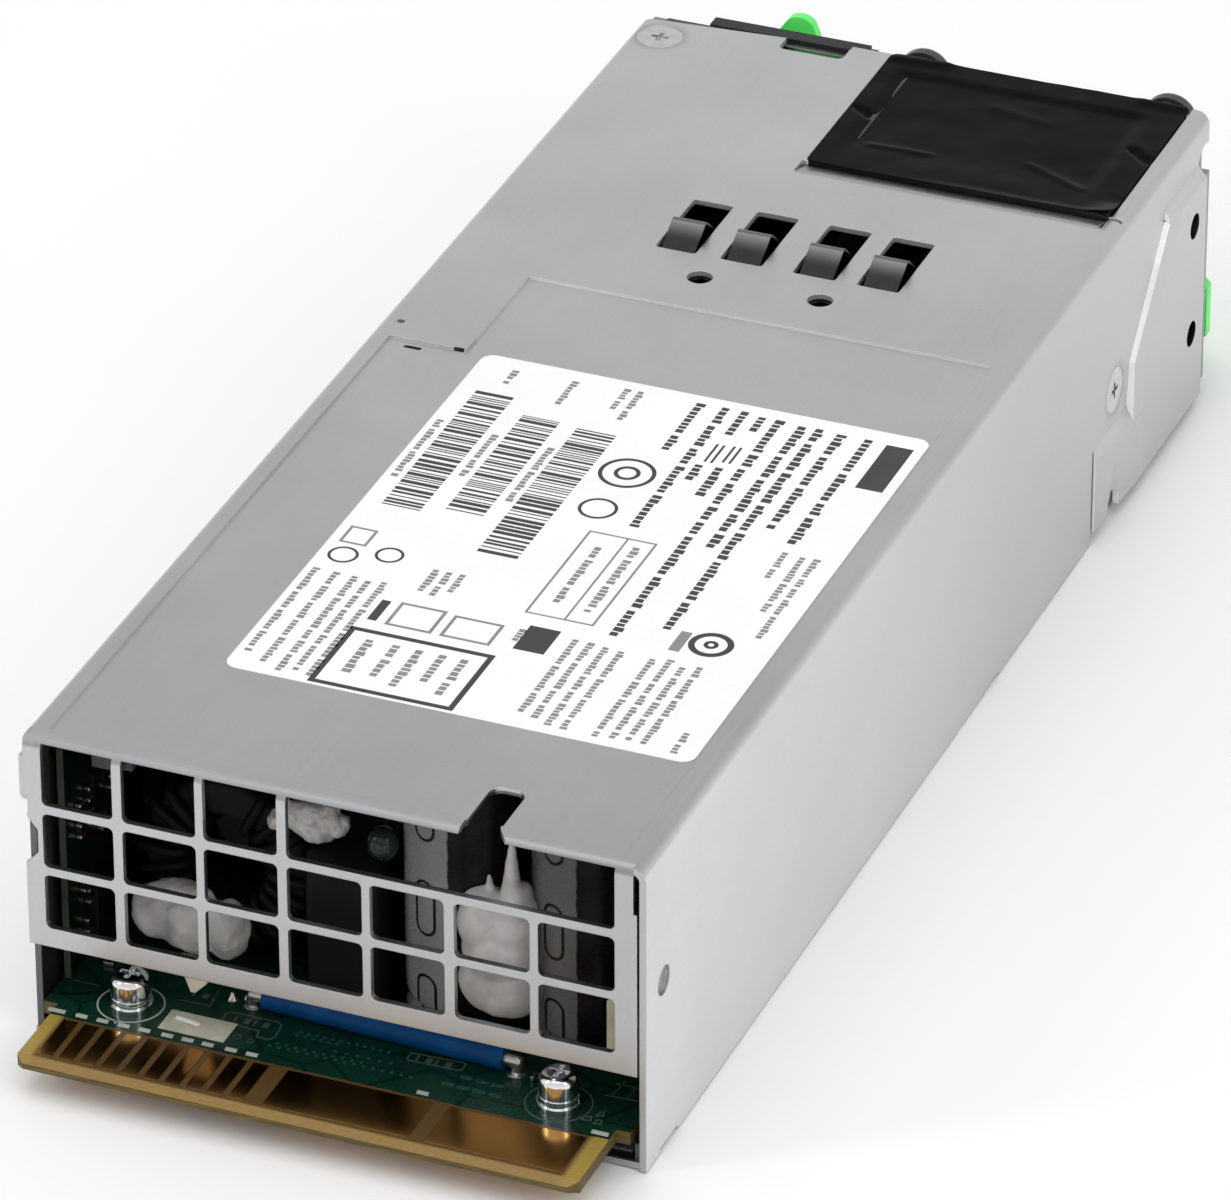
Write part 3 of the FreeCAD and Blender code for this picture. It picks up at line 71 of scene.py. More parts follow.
class Mat:
    """A small set of shorthands for a procedural material."""

    def __init__(self, name, local=False):
        self.m = bpy.data.materials.new(name)
        self.m.use_nodes = True
        self.t = self.m.node_tree
        self.t.nodes.clear()
        self.out = self.t.nodes.new("ShaderNodeOutputMaterial")
        self.b = self.t.nodes.new("ShaderNodeBsdfPrincipled")
        self.t.links.new(self.b.outputs[0], self.out.inputs[0])
        tc = self.t.nodes.new("ShaderNodeTexCoord")
        v = self.v("MULTIPLY", tc.outputs["Object"], (1000.0, 1000.0, 1000.0))
        self.mm = v if local else self.v("ADD", v, (0.0, HALF, 0.0))
        self.nrm = None

    def put(self, sock, val):
        if isinstance(val, bpy.types.NodeSocket):
            self.t.links.new(val, sock)
        else:
            sock.default_value = val

    def v(self, op, a, b):
        n = self.t.nodes.new("ShaderNodeVectorMath")
        n.operation = op
        self.put(n.inputs[0], a)
        self.put(n.inputs[1], b)
        return n.outputs[0]

    def f(self, op, a, b=None, c=None, clamp=False):
        n = self.t.nodes.new("ShaderNodeMath")
        n.operation = op
        n.use_clamp = clamp
        self.put(n.inputs[0], a)
        if b is not None:
            self.put(n.inputs[1], b)
        if c is not None:
            self.put(n.inputs[2], c)
        return n.outputs[0]

    def xyz(self, vec=None):
        n = self.t.nodes.new("ShaderNodeSeparateXYZ")
        self.put(n.inputs[0], self.mm if vec is None else vec)
        return n.outputs[0], n.outputs[1], n.outputs[2]

    def scaled(self, sx, sy, sz):
        return self.v("MULTIPLY", self.mm, (sx, sy, sz))

    def turned(self, rx, ry, rz, sx=1.0, sy=1.0, sz=1.0):
        n = self.t.nodes.new("ShaderNodeMapping")
        self.put(n.inputs["Vector"], self.mm)
        n.inputs["Rotation"].default_value = (math.radians(rx), math.radians(ry), math.radians(rz))
        n.inputs["Scale"].default_value = (sx, sy, sz)
        return n.outputs[0]

    def noise(self, scale, detail=2.0, rough=0.5, vec=None, dist=0.0):
        n = self.t.nodes.new("ShaderNodeTexNoise")
        self.put(n.inputs["Vector"], self.mm if vec is None else vec)
        n.inputs["Scale"].default_value = scale
        n.inputs["Detail"].default_value = detail
        n.inputs["Roughness"].default_value = rough
        n.inputs["Distortion"].default_value = dist
        return n.outputs[0]

    def voro(self, scale, vec=None, feature="F1", rnd=1.0, dist="EUCLIDEAN"):
        n = self.t.nodes.new("ShaderNodeTexVoronoi")
        n.feature = feature
        if feature != "DISTANCE_TO_EDGE":
            n.distance = dist
        self.put(n.inputs["Vector"], self.mm if vec is None else vec)
        n.inputs["Scale"].default_value = scale
        n.inputs["Randomness"].default_value = rnd
        return n.outputs[0]

    def ramp(self, fac, stops):
        n = self.t.nodes.new("ShaderNodeValToRGB")
        self.put(n.inputs[0], fac)
        e = n.color_ramp.elements
        e[0].position, e[0].color = stops[0][0], self.col(stops[0][1])
        e[1].position, e[1].color = stops[-1][0], self.col(stops[-1][1])
        for p, c in stops[1:-1]:
            q = e.new(p)
            q.color = self.col(c)
        return n.outputs[0]

    @staticmethod
    def col(c):
        if isinstance(c, (int, float)):
            return (c, c, c, 1.0)
        return tuple(c) if len(c) == 4 else (c[0], c[1], c[2], 1.0)

    def mix(self, fac, a, b, kind="MIX"):
        n = self.t.nodes.new("ShaderNodeMix")
        n.data_type = "RGBA"
        n.blend_type = kind
        self.put(n.inputs[0], fac)
        self.put(n.inputs[6], a if isinstance(a, bpy.types.NodeSocket) else self.col(a))
        self.put(n.inputs[7], b if isinstance(b, bpy.types.NodeSocket) else self.col(b))
        return n.outputs[2]

    def rng(self, val, lo, hi, a=0.0, b=1.0):
        n = self.t.nodes.new("ShaderNodeMapRange")
        n.clamp = True
        self.put(n.inputs[0], val)
        n.inputs[1].default_value = lo
        n.inputs[2].default_value = hi
        n.inputs[3].default_value = a
        n.inputs[4].default_value = b
        return n.outputs[0]

    def bevel(self, radius, samples=4):
        n = self.t.nodes.new("ShaderNodeBevel")
        n.samples = samples
        n.inputs["Radius"].default_value = radius / 1000.0
        self.nrm = n.outputs[0]
        return self.nrm

    def bump(self, height, strength, dist_mm):
        n = self.t.nodes.new("ShaderNodeBump")
        n.inputs["Strength"].default_value = strength
        n.inputs["Distance"].default_value = dist_mm / 1000.0
        self.put(n.inputs["Height"], height)
        if self.nrm is not None:
            self.t.links.new(self.nrm, n.inputs["Normal"])
        self.nrm = n.outputs[0]
        return self.nrm

    def done(self, color, rough, metal=0.0, **kw):
        b = self.b
        self.put(b.inputs["Base Color"], color if isinstance(color, bpy.types.NodeSocket) else self.col(color))
        self.put(b.inputs["Roughness"], rough)
        self.put(b.inputs["Metallic"], metal)
        for k, val in kw.items():
            b.inputs[k.replace("_", " ")].default_value = val
        if self.nrm is not None:
            self.t.links.new(self.nrm, b.inputs["Normal"])
        return self.m


def zinc(name, base=(0.60, 0.605, 0.61), rough=0.36, bevel=0.16, streak=True, case=False):
    """Zinc plated sheet. For the case sheets the top, side and front faces are graded in tone from end to end as
    painted light and shade, cut edges carry a painted highlight and the faces inside the case are darkened as painted
    shade."""
    m = Mat(name)
    m.bevel(bevel)
    cloud = m.noise(0.045, 3.0, 0.55)
    grain = m.noise(2.6, 3.0, 0.6)
    roll = m.noise(1.0, 3.0, 0.6, vec=m.scaled(2.4, 0.06, 2.4)) if streak else m.noise(0.6, 3.0, 0.6)
    s1 = m.noise(1.0, 1.0, 0.5, vec=m.turned(0, 0, 27, 0.05, 7.0, 1.0))
    s2 = m.noise(1.0, 1.0, 0.5, vec=m.turned(0, 0, -61, 0.07, 6.0, 1.0))
    sc = m.f("ADD", m.rng(s1, 0.74, 0.79), m.rng(s2, 0.76, 0.81), clamp=True)
    k = m.f("ADD", m.rng(cloud, 0.3, 0.7, -0.045, 0.045), m.rng(roll, 0.3, 0.7, -0.022, 0.022))
    k = m.f("ADD", k, m.rng(grain, 0.3, 0.7, -0.02, 0.02))
    k = m.f("ADD", m.f("ADD", k, 1.0), m.f("MULTIPLY", sc, 0.04))
    r = m.f("ADD", m.rng(cloud, 0.3, 0.7, rough - 0.05, rough + 0.05), m.rng(roll, 0.3, 0.7, -0.03, 0.03))
    r = m.f("SUBTRACT", r, m.f("MULTIPLY", sc, 0.06))
    if case:
        x, y, z = m.xyz()
        g = m.t.nodes.new("ShaderNodeNewGeometry")
        nx, ny, nz = m.xyz(g.outputs["True Normal"])
        # painted light and shade: top faces darker towards the front, side faces brighter towards the front, front
        # faces darker and more so to the right
        up = m.rng(nz, 0.45, 0.75)
        side = m.rng(nx, 0.45, 0.75)
        front = m.rng(ny, -0.9, -0.6, 1.0, 0.0)
        top_light_grade = m.rng(y, 0.0, 150.0, 0.80, 1.0)
        side_light_grade = m.rng(y, 10.0, 115.0, 1.19, 0.95)
        front_light_grade = m.rng(x, -35.0, 30.0, 0.89, 0.81)
        k = m.f("MULTIPLY", k, m.f("ADD", 1.0, m.f("MULTIPLY", up, m.f("SUBTRACT", top_light_grade, 1.0))))
        k = m.f("MULTIPLY", k, m.f("ADD", 1.0, m.f("MULTIPLY", side, m.f("SUBTRACT", side_light_grade, 1.0))))
        ff = m.f("MULTIPLY", front, m.rng(y, 1.5, 2.5, 1.0, 0.0))
        k = m.f("MULTIPLY", k, m.f("ADD", 1.0, m.f("MULTIPLY", ff, m.f("SUBTRACT", front_light_grade, 1.0))))
        # painted shade: faces inside the case are darkened
        inner_shade_mask = m.f("MULTIPLY", m.f("LESS_THAN", z, 38.0), m.f("GREATER_THAN", z, 0.4))
        inner_shade_mask = m.f("MULTIPLY", inner_shade_mask, m.f("LESS_THAN", m.f("ABSOLUTE", x), 36.05))
        inner_shade_mask = m.f("MULTIPLY", inner_shade_mask, m.f("GREATER_THAN", y, 0.75))
        k = m.f("MULTIPLY", k, m.f("SUBTRACT", 1.0, m.f("MULTIPLY", inner_shade_mask, 0.72)))
        # painted highlight on cut edges: holes and steps of the side wall, windows of the top are made bright and less
        # metallic
        ew = m.f("MULTIPLY", m.f("GREATER_THAN", x, 36.82), m.rng(ny, -0.5, -0.3, 1.0, 0.0))
        ed = m.f("MULTIPLY", m.f("GREATER_THAN", x, 35.9), m.f("MULTIPLY", m.f("LESS_THAN", z, 36.5), m.f("GREATER_THAN", z, 1.2)))
        e1 = m.f("MAXIMUM", ew, m.f("MULTIPLY", ed, 0.2))
        e1 = m.f("MULTIPLY", e1, m.rng(m.f("ABSOLUTE", nx), 0.2, 0.4, 1.0, 0.0))
        e1 = m.f("MULTIPLY", e1, m.f("GREATER_THAN", y, 140.0))
        e2 = m.f("MULTIPLY", m.f("GREATER_THAN", z, 38.05), m.rng(m.f("ABSOLUTE", nz), 0.2, 0.4, 1.0, 0.0))
        e2 = m.f("MULTIPLY", e2, m.f("MULTIPLY", m.f("GREATER_THAN", y, 100.0), m.f("LESS_THAN", m.f("ABSOLUTE", x), 36.0)))
        # painted shade: the walls of the two round holes in the side wall are darkened and kept out of the edge
        # highlight
        hole = None
        for zc in (12.05, 27.05):
            da, db = m.f("SUBTRACT", y, 177.1), m.f("SUBTRACT", z, zc)
            d = m.f("SQRT", m.f("ADD", m.f("MULTIPLY", da, da), m.f("MULTIPLY", db, db)))
            h1 = m.f("MULTIPLY", m.f("LESS_THAN", d, 2.2), m.rng(m.f("ABSOLUTE", nx), 0.5, 0.8, 1.0, 0.0))
            hole = h1 if hole is None else m.f("MAXIMUM", hole, h1)
        hole = m.f("MULTIPLY", hole, m.f("GREATER_THAN", x, 35.0))
        e1 = m.f("MULTIPLY", e1, m.f("SUBTRACT", 1.0, hole))
        k = m.f("MULTIPLY", k, m.f("SUBTRACT", 1.0, m.f("MULTIPLY", hole, 0.9)))
        edge_highlight_mask = m.f("MAXIMUM", e1, m.f("MULTIPLY", e2, 0.35))
        k = m.f("MULTIPLY", k, m.f("ADD", 1.0, m.f("MULTIPLY", edge_highlight_mask, 0.62)))
        r = m.f("ADD", r, m.f("MULTIPLY", edge_highlight_mask, 0.1))
        # painted shade: the tight bend along the front edge is made a little darker
        bend_shade_mask = m.f("MULTIPLY", m.rng(ny, -0.35, -0.2, 1.0, 0.0), m.rng(nz, 0.2, 0.35))
        bend_shade_mask = m.f("MULTIPLY", bend_shade_mask, m.rng(y, 1.8, 2.2, 1.0, 0.0))
        k = m.f("MULTIPLY", k, m.f("SUBTRACT", 1.0, m.f("MULTIPLY", bend_shade_mask, 0.28)))
        def shade(mask, amount):
            return m.f("MULTIPLY", k, m.f("ADD", 1.0, m.f("MULTIPLY", mask, amount)))

        # the sloped crease of the side step catches more light, the ramp to the fan opening less
        cre = m.f("MULTIPLY", m.f("GREATER_THAN", x, 36.82), m.f("GREATER_THAN", y, 165.0))
        cre = m.f("MULTIPLY", cre, m.f("MULTIPLY", m.rng(nz, 0.25, 0.35), m.rng(nz, 0.8, 0.9, 1.0, 0.0)))
        k = shade(cre, 0.18)
        rmp = m.f("MULTIPLY", m.rng(y, 151.6, 152.1), m.rng(y, 154.9, 155.2, 1.0, 0.0))
        rmp = m.f("MULTIPLY", rmp, m.f("MULTIPLY", m.f("GREATER_THAN", z, 36.0), m.rng(nz, 0.45, 0.6)))
        rmp = m.f("MULTIPLY", rmp, m.f("MULTIPLY", m.f("GREATER_THAN", x, -4.8), m.f("LESS_THAN", x, 34.8)))
        k = shade(rmp, -0.28)

        # painted shade: a soft dark ring where each screw is pulled down, and on the floor of the dimple
        def ring(a, a0, b, b0, mask):
            da, db = m.f("SUBTRACT", a, a0), m.f("SUBTRACT", b, b0)
            d = m.f("SQRT", m.f("ADD", m.f("MULTIPLY", da, da), m.f("MULTIPLY", db, db)))
            return m.f("MULTIPLY", m.rng(d, 3.0, 4.0, 1.0, 0.0), mask)
        k = shade(ring(x, -32.9, y, 178.7, m.f("GREATER_THAN", z, 36.5)), -0.2)
        k = shade(ring(y, 151.6, z, 17.35, m.f("GREATER_THAN", x, 35.0)), -0.2)
        dim = m.f("MULTIPLY", m.f("MULTIPLY", m.f("GREATER_THAN", x, 36.1), m.f("LESS_THAN", x, 36.6)), m.f("LESS_THAN", y, 10.0))
        k = shade(m.f("MULTIPLY", dim, m.rng(nx, 0.85, 0.93)), -0.4)
        metal = m.f("SUBTRACT", 1.0, m.f("MULTIPLY", edge_highlight_mask, 0.85))
    else:
        metal = 1.0
    if name == "zinc_panel":
        _, _, z = m.xyz()
        g = m.t.nodes.new("ShaderNodeNewGeometry")
        _, _, nz = m.xyz(g.outputs["True Normal"])
        # painted shade: the up-facing top of the rear panel's lip is darkened
        lip = m.f("MULTIPLY", m.f("GREATER_THAN", z, 37.9), m.rng(nz, 0.45, 0.6))
        k = m.f("MULTIPLY", k, m.f("SUBTRACT", 1.0, m.f("MULTIPLY", lip, 0.6)))
    col = m.mix(1.0, base, m.mix(0.0, k, k), "MULTIPLY")
    m.bump(m.f("ADD", grain, m.f("MULTIPLY", sc, -0.5)), 0.04, 0.05)
    return m.done(col, r, metal)


def bright_metal(name, base=(0.78, 0.78, 0.78), rough=0.16, bevel=0.12):
    m = Mat(name)
    m.bevel(bevel)
    a = m.noise(0.7, 3.0, 0.6)
    b_ = m.noise(5.0, 2.0, 0.6)
    col = m.mix(m.rng(a, 0.35, 0.7), base, tuple(c * 0.86 for c in base))
    r = m.rng(b_, 0.3, 0.7, rough - 0.04, rough + 0.08)
    m.bump(b_, 0.06, 0.03)
    return m.done(col, r, 1.0)


def plastic(name, base, rough=0.45, tex=0.10, bevel=0.15, spread=0.12, scale=3.5, **kw):
    m = Mat(name)
    m.bevel(bevel)
    a = m.noise(0.25, 3.0, 0.55)
    g = m.noise(scale, 3.0, 0.65)
    lo = tuple(c * (1.0 - spread) for c in base[:3])
    hi = tuple(c * (1.0 + spread) for c in base[:3])
    col = m.mix(m.rng(m.f("ADD", m.f("MULTIPLY", a, 0.7), m.f("MULTIPLY", g, 0.3)), 0.35, 0.65), lo, hi)
    r = m.rng(g, 0.3, 0.7, rough - 0.05, rough + 0.07)
    m.bump(g, tex, 0.06)
    return m.done(col, r, 0.0, **kw)


MATS = {}
MATS["zinc"] = zinc("zinc_cover", case=True)
MATS["zinc_tray"] = zinc("zinc_tray", (0.56, 0.565, 0.57), 0.4, case=True)
MATS["zinc_panel"] = zinc("zinc_panel", (0.34, 0.34, 0.34), 0.42, streak=False)
MATS["screw"] = bright_metal("zinc_screws", (0.7, 0.705, 0.71), 0.24)
MATS["sems"] = bright_metal("bright_screws", (0.9, 0.91, 0.93), 0.07, 0.2)
MATS["steel"] = bright_metal("ground_steel", (0.6, 0.6, 0.6), 0.22)
MATS["nickel"] = bright_metal("nickel_pins", (0.72, 0.7, 0.66), 0.2)
MATS["tin"] = bright_metal("tinned_copper", (0.5, 0.49, 0.47), 0.26)
MATS["alu"] = zinc("bare_aluminium", (0.72, 0.72, 0.72), 0.34)
MATS["black"] = plastic("black_moulding", (0.016, 0.016, 0.017), 0.42, Specular_IOR_Level=0.3)
MATS["fanblack"] = plastic("fan_moulding", (0.02, 0.02, 0.021), 0.36, 0.14)
MATS["chip"] = plastic("epoxy_moulding", (0.005, 0.005, 0.0053), 0.5, Specular_IOR_Level=0.15)
MATS["greyconn"] = plastic("grey_connector_moulding", (0.09, 0.09, 0.092), 0.5, 0.04, Specular_IOR_Level=0.25)
MATS["cream"] = plastic("cream_moulding", (0.62, 0.58, 0.44), 0.42, 0.06)
MATS["greenp"] = plastic("green_moulding", (0.14, 0.9, 0.18), 0.42, 0.05, spread=0.06, Subsurface_Weight=0.08, Subsurface_Scale=0.0008)
MATS["blackwire"] = plastic("coated_wire", (0.03, 0.03, 0.031), 0.34, 0.05)
MATS["lead"] = plastic("lead_insulation", (0.02, 0.02, 0.021), 0.5, 0.04)
MATS["blacksteel"] = plastic("black_oxide_steel", (0.035, 0.035, 0.036), 0.3, 0.05)
MATS["ferrite"] = plastic("sintered_ferrite", (0.05, 0.05, 0.053), 0.62, 0.2)
MATS["darkferrite"] = plastic("coated_core", (0.010, 0.010, 0.0105), 0.6, 0.15, Specular_IOR_Level=0.15)
MATS["tape"] = plastic("polyester_tape", (0.55, 0.4, 0.06), 0.3, 0.1)
MATS["copper"] = bright_metal("enamelled_copper", (0.62, 0.27, 0.12), 0.24)
MATS["enamel"] = plastic("dark_enamel", (0.0045, 0.0043, 0.0041), 0.5, 0.03, Specular_IOR_Level=0.12)
MATS["bluecase"] = plastic("blue_case", (0.03, 0.09, 0.3), 0.35, 0.06)
MATS["ceramic"] = plastic("fuse_ceramic", (0.75, 0.73, 0.68), 0.4, 0.05)
MATS["bead"] = plastic("dipped_epoxy", (0.012, 0.022, 0.016), 0.14, 0.04, spread=0.3, Specular_IOR_Level=0.35)
MATS["pipe"] = plastic("light_pipe", (0.75, 0.8, 0.78), 0.18, 0.02, Transmission_Weight=0.6)
MATS["clear"] = plastic("clear_film", (0.4, 0.4, 0.38), 0.3, 0.03, Transmission_Weight=0.5)
MATS["printdark"] = plastic("print_dark", (0.03, 0.03, 0.032), 0.45, 0.02)
MATS["printgrey"] = plastic("print_grey", (0.24, 0.24, 0.25), 0.45, 0.02)
MATS["silk"] = plastic("board_marking", (0.42, 0.44, 0.38), 0.5, 0.05)
MATS["silkdim"] = plastic("board_marking_dim", (0.05, 0.085, 0.06), 0.5, 0.05)
MATS["soldermask_via"] = plastic("tented_via", (0.012, 0.07, 0.045), 0.25, 0.05)


def label_paper():
    m = Mat("label_face")
    m.bevel(0.08)
    a = m.noise(0.05, 3.0, 0.5)
    g = m.noise(1.4, 3.0, 0.6)
    col = m.mix(m.rng(m.f("ADD", m.f("MULTIPLY", a, 0.6), m.f("MULTIPLY", g, 0.4)), 0.35, 0.65), (0.9, 0.905, 0.91), (0.95, 0.95, 0.95))
    m.bump(g, 0.03, 0.04)
    return m.done(col, m.rng(g, 0.3, 0.7, 0.4, 0.5))


def sticker():
    m = Mat("sticker_face")
    a = m.noise(0.5, 3.0, 0.55)
    col = m.mix(m.rng(a, 0.35, 0.65), (0.42, 0.42, 0.32), (0.55, 0.54, 0.43))
    m.bump(a, 0.1, 0.1)
    return m.done(col, m.rng(a, 0.3, 0.7, 0.3, 0.42))


def spring_steel():
    m = Mat("blued_spring_steel")
    m.bevel(0.06)
    x, y, z = m.xyz()
    st = m.noise(1.0, 3.0, 0.6, vec=m.scaled(5.0, 0.3, 5.0))
    a = m.noise(0.5, 3.0, 0.6)
    col = m.mix(m.rng(m.f("ADD", m.f("MULTIPLY", st, 0.4), m.f("MULTIPLY", a, 0.6)), 0.35, 0.65), (0.025, 0.025, 0.026), (0.035, 0.0345, 0.034))
    # painted highlight: lighter towards the top ridge of each finger
    crest_highlight = m.f("POWER", m.rng(z, 39.0, 40.25), 1.6)
    col = m.mix(m.f("MULTIPLY", crest_highlight, 0.9), col, (0.2, 0.2, 0.205))
    # cut side edges are bare
    g = m.t.nodes.new("ShaderNodeNewGeometry")
    nx, _, _ = m.xyz(g.outputs["True Normal"])
    col = m.mix(m.rng(m.f("ABSOLUTE", nx), 0.6, 0.8), col, (0.12, 0.12, 0.12))
    m.bump(st, 0.04, 0.03)
    return m.done(col, m.rng(a, 0.3, 0.7, 0.26, 0.34), 1.0)


def film():
    m = Mat("glossy_film")
    a = m.noise(0.12, 3.0, 0.55)
    d = m.noise(1.6, 4.0, 0.6)
    spk = m.voro(1.1)
    dust = m.rng(spk, 0.05, 0.09, 1.0, 0.0)
    col = m.mix(m.rng(a, 0.35, 0.65), (0.002, 0.002, 0.0022), (0.0042, 0.0042, 0.0045))
    x, y, z = m.xyz()
    ins = m.f("MULTIPLY", m.f("MULTIPLY", m.rng(x, -2.2, 0.2), m.rng(x, 28.8, 31.0, 1.0, 0.0)),
              m.f("MULTIPLY", m.rng(y, 157.4, 159.6), m.rng(y, 179.4, 181.4, 1.0, 0.0)))
    col = m.mix(ins, (0.0035, 0.0035, 0.0037), col)
    col = m.mix(m.f("MULTIPLY", dust, 0.04), col, (0.3, 0.3, 0.3))
    m.bump(m.f("ADD", a, m.f("MULTIPLY", d, 0.12)), 0.18, 0.4)
    return m.done(col, m.rng(d, 0.3, 0.7, 0.18, 0.26), 0.0, Specular_IOR_Level=0.035)


def board():
    m = Mat("circuit_board")
    x, y, z = m.xyz()
    g = m.t.nodes.new("ShaderNodeNewGeometry")
    _, _, nz = m.xyz(g.outputs["Normal"])
    flat = m.f("GREATER_THAN", m.f("ABSOLUTE", nz), 0.85)
    wob = m.rng(m.noise(0.6, 2.0), 0.3, 0.7, -0.08, 0.08)
    mask = m.f("GREATER_THAN", m.f("ADD", y, wob), -1.9)
    green = m.f("MULTIPLY", flat, mask)
    # copper beneath the mask shows as paler shapes with dark gaps between
    cell = m.voro(0.11, vec=m.scaled(1.0, 1.3, 1.0), feature="DISTANCE_TO_EDGE")
    tr = m.t.nodes.new("ShaderNodeTexBrick")
    m.put(tr.inputs["Vector"], m.turned(0, 0, 90))
    tr.inputs["Scale"].default_value = 0.35
    tr.inputs["Mortar Size"].default_value = 0.03
    tr.inputs["Color1"].default_value = (1, 1, 1, 1)
    tr.inputs["Color2"].default_value = (0.75, 0.75, 0.75, 1)
    tr.inputs["Mortar"].default_value = (0.35, 0.35, 0.35, 1)
    gap = m.rng(cell, 0.012, 0.03)
    gr = m.mix(m.noise(0.08, 3.0), (0.0028, 0.022, 0.014), (0.005, 0.042, 0.026))
    gr = m.mix(m.f("SUBTRACT", 1.0, gap), gr, (0.003, 0.014, 0.01))
    gr = m.mix(0.35, gr, m.mix(1.0, gr, tr.outputs[0], "MULTIPLY"))
    weave = m.noise(1.0, 2.0, 0.5, vec=m.scaled(1.2, 5.0, 5.0))
    # bare laminate: clear ochre at the ends, copper-backed brown between
    inx = m.f("MULTIPLY", m.rng(x, -31.9, -31.3), m.rng(x, 30.9, 31.6, 1.0, 0.0))
    bare = m.mix(inx, m.mix(weave, (0.30, 0.20, 0.035), (0.42, 0.30, 0.07)), m.mix(m.noise(0.12, 3.0), (0.070, 0.038, 0.012), (0.115, 0.066, 0.022)))
    tipm = m.rng(y, -10.3, -9.9, 1.0, 0.0)
    bare = m.mix(m.f("MULTIPLY", tipm, 0.85), bare, m.mix(weave, (0.24, 0.14, 0.035), (0.36, 0.23, 0.06)))
    lay = m.noise(1.0, 3.0, 0.6, vec=m.scaled(0.25, 0.25, 4.5))
    edge = m.mix(m.rng(lay, 0.3, 0.7), (0.056, 0.0375, 0.011), (0.16, 0.1125, 0.03))
    col = m.mix(flat, edge, bare)
    col = m.mix(green, col, gr)
    rg = m.mix(green, m.mix(flat, 0.62, m.rng(weave, 0.3, 0.7, 0.26, 0.36)), m.rng(m.noise(2.0, 2.0), 0.3, 0.7, 0.16, 0.26))
    m.bump(m.f("ADD", m.f("MULTIPLY", weave, 0.5), m.f("MULTIPLY", gap, 0.6)), 0.12, 0.06)
    return m.done(col, rg, 0.0, Specular_IOR_Level=0.32)


def green_board():
    m = Mat("daughter_board")
    x, y, z = m.xyz()
    g = m.t.nodes.new("ShaderNodeNewGeometry")
    nx, _, _ = m.xyz(g.outputs["Normal"])
    flat = m.f("GREATER_THAN", m.f("ABSOLUTE", nx), 0.85)
    cell = m.voro(0.2, vec=m.scaled(1.0, 1.0, 1.3), feature="DISTANCE_TO_EDGE")
    gr = m.mix(m.noise(0.2, 2.0), (0.0012, 0.006, 0.0042), (0.0022, 0.011, 0.007))
    gr = m.mix(m.rng(cell, 0.012, 0.04, 1.0, 0.0), gr, (0.003, 0.014, 0.01))
    edge = m.mix(m.noise(3.0, 2.0), (0.045, 0.05, 0.038), (0.07, 0.075, 0.055))
    m.bump(cell, 0.1, 0.05)
    return m.done(m.mix(flat, edge, gr), 0.3)


def gold():
    m = Mat("hard_gold")
    m.bevel(0.05)
    x, y, z = m.xyz()
    a = m.noise(0.09, 2.0, 0.5)
    st = m.noise(0.35, 2.0, 0.5)
    col = m.mix(m.rng(a, 0.38, 0.62), (0.42, 0.2, 0.06), (0.62, 0.32, 0.085))
    m.bump(st, 0.05, 0.03)
    return m.done(col, m.rng(a, 0.3, 0.7, 0.12, 0.19), 1.0)


def cap_sleeve(name, phase, tone):
    """Sleeve of one capacitor: black with a grey band of long oval outlines.
    The piece's own origin is on the can's axis at the board."""
    m = Mat(name, local=True)
    x, y, z = m.xyz()
    ang = m.f("ARCTAN2", y, x)
    edge = m.rng(m.noise(0.8, 2.0), 0.3, 0.7, -0.012, 0.012)
    a = m.f("ADD", ang, edge)
    band = m.f("MULTIPLY", m.rng(a, -2.79, -2.765), m.rng(a, -1.515, -1.49, 1.0, 0.0))
    s = m.f("MULTIPLY", m.f("ADD", ang, 1.92), 7.0)
    zz = m.f("WRAP", m.f("SUBTRACT", z, phase), 6.1, -6.1)
    lz = m.f("MAXIMUM", m.f("SUBTRACT", m.f("ABSOLUTE", zz), 2.1), 0.0)
    d = m.f("SQRT", m.f("ADD", m.f("MULTIPLY", s, s), m.f("MULTIPLY", lz, lz)))
    ring = m.rng(m.f("ABSOLUTE", m.f("SUBTRACT", d, 1.3)), 0.14, 0.24, 1.0, 0.0)
    grain = m.noise(2.5, 3.0, 0.6)
    dark = m.mix(grain, (0.003, 0.003, 0.0033), (0.006, 0.006, 0.0063))
    grey = m.mix(grain, (tone * 0.95,) * 3, (tone * 1.03,) * 3)
    col = m.mix(m.f("MULTIPLY", band, m.f("SUBTRACT", 1.0, ring)), dark, grey)
    m.bump(m.noise(0.5, 2.0), 0.06, 0.1)
    return m.done(col, m.rng(grain, 0.3, 0.7, 0.24, 0.32), 0.0, Specular_IOR_Level=0.1)


def silicone():
    m = Mat("milky_silicone")
    a = m.noise(0.35, 3.0, 0.55)
    g = m.noise(2.2, 3.0, 0.6)
    col = m.mix(m.rng(a, 0.35, 0.65), (0.45, 0.44, 0.425), (0.6, 0.59, 0.57))
    m.bump(m.f("ADD", a, m.f("MULTIPLY", g, 0.1)), 0.12, 0.3)
    return m.done(col, m.rng(g, 0.3, 0.7, 0.3, 0.4), 0.0, Subsurface_Weight=0.3, Subsurface_Scale=0.0012)


def blue_sleeve():
    m = Mat("blue_sleeving")
    a = m.noise(0.3, 3.0, 0.55)
    g = m.noise(4.0, 3.0, 0.6)
    col = m.mix(m.rng(a, 0.35, 0.65), (0.0008, 0.045, 0.145), (0.0012, 0.064, 0.2))
    m.bump(g, 0.06, 0.05)
    return m.done(col, m.rng(g, 0.3, 0.7, 0.36, 0.46), 0.0, Specular_IOR_Level=0.12)


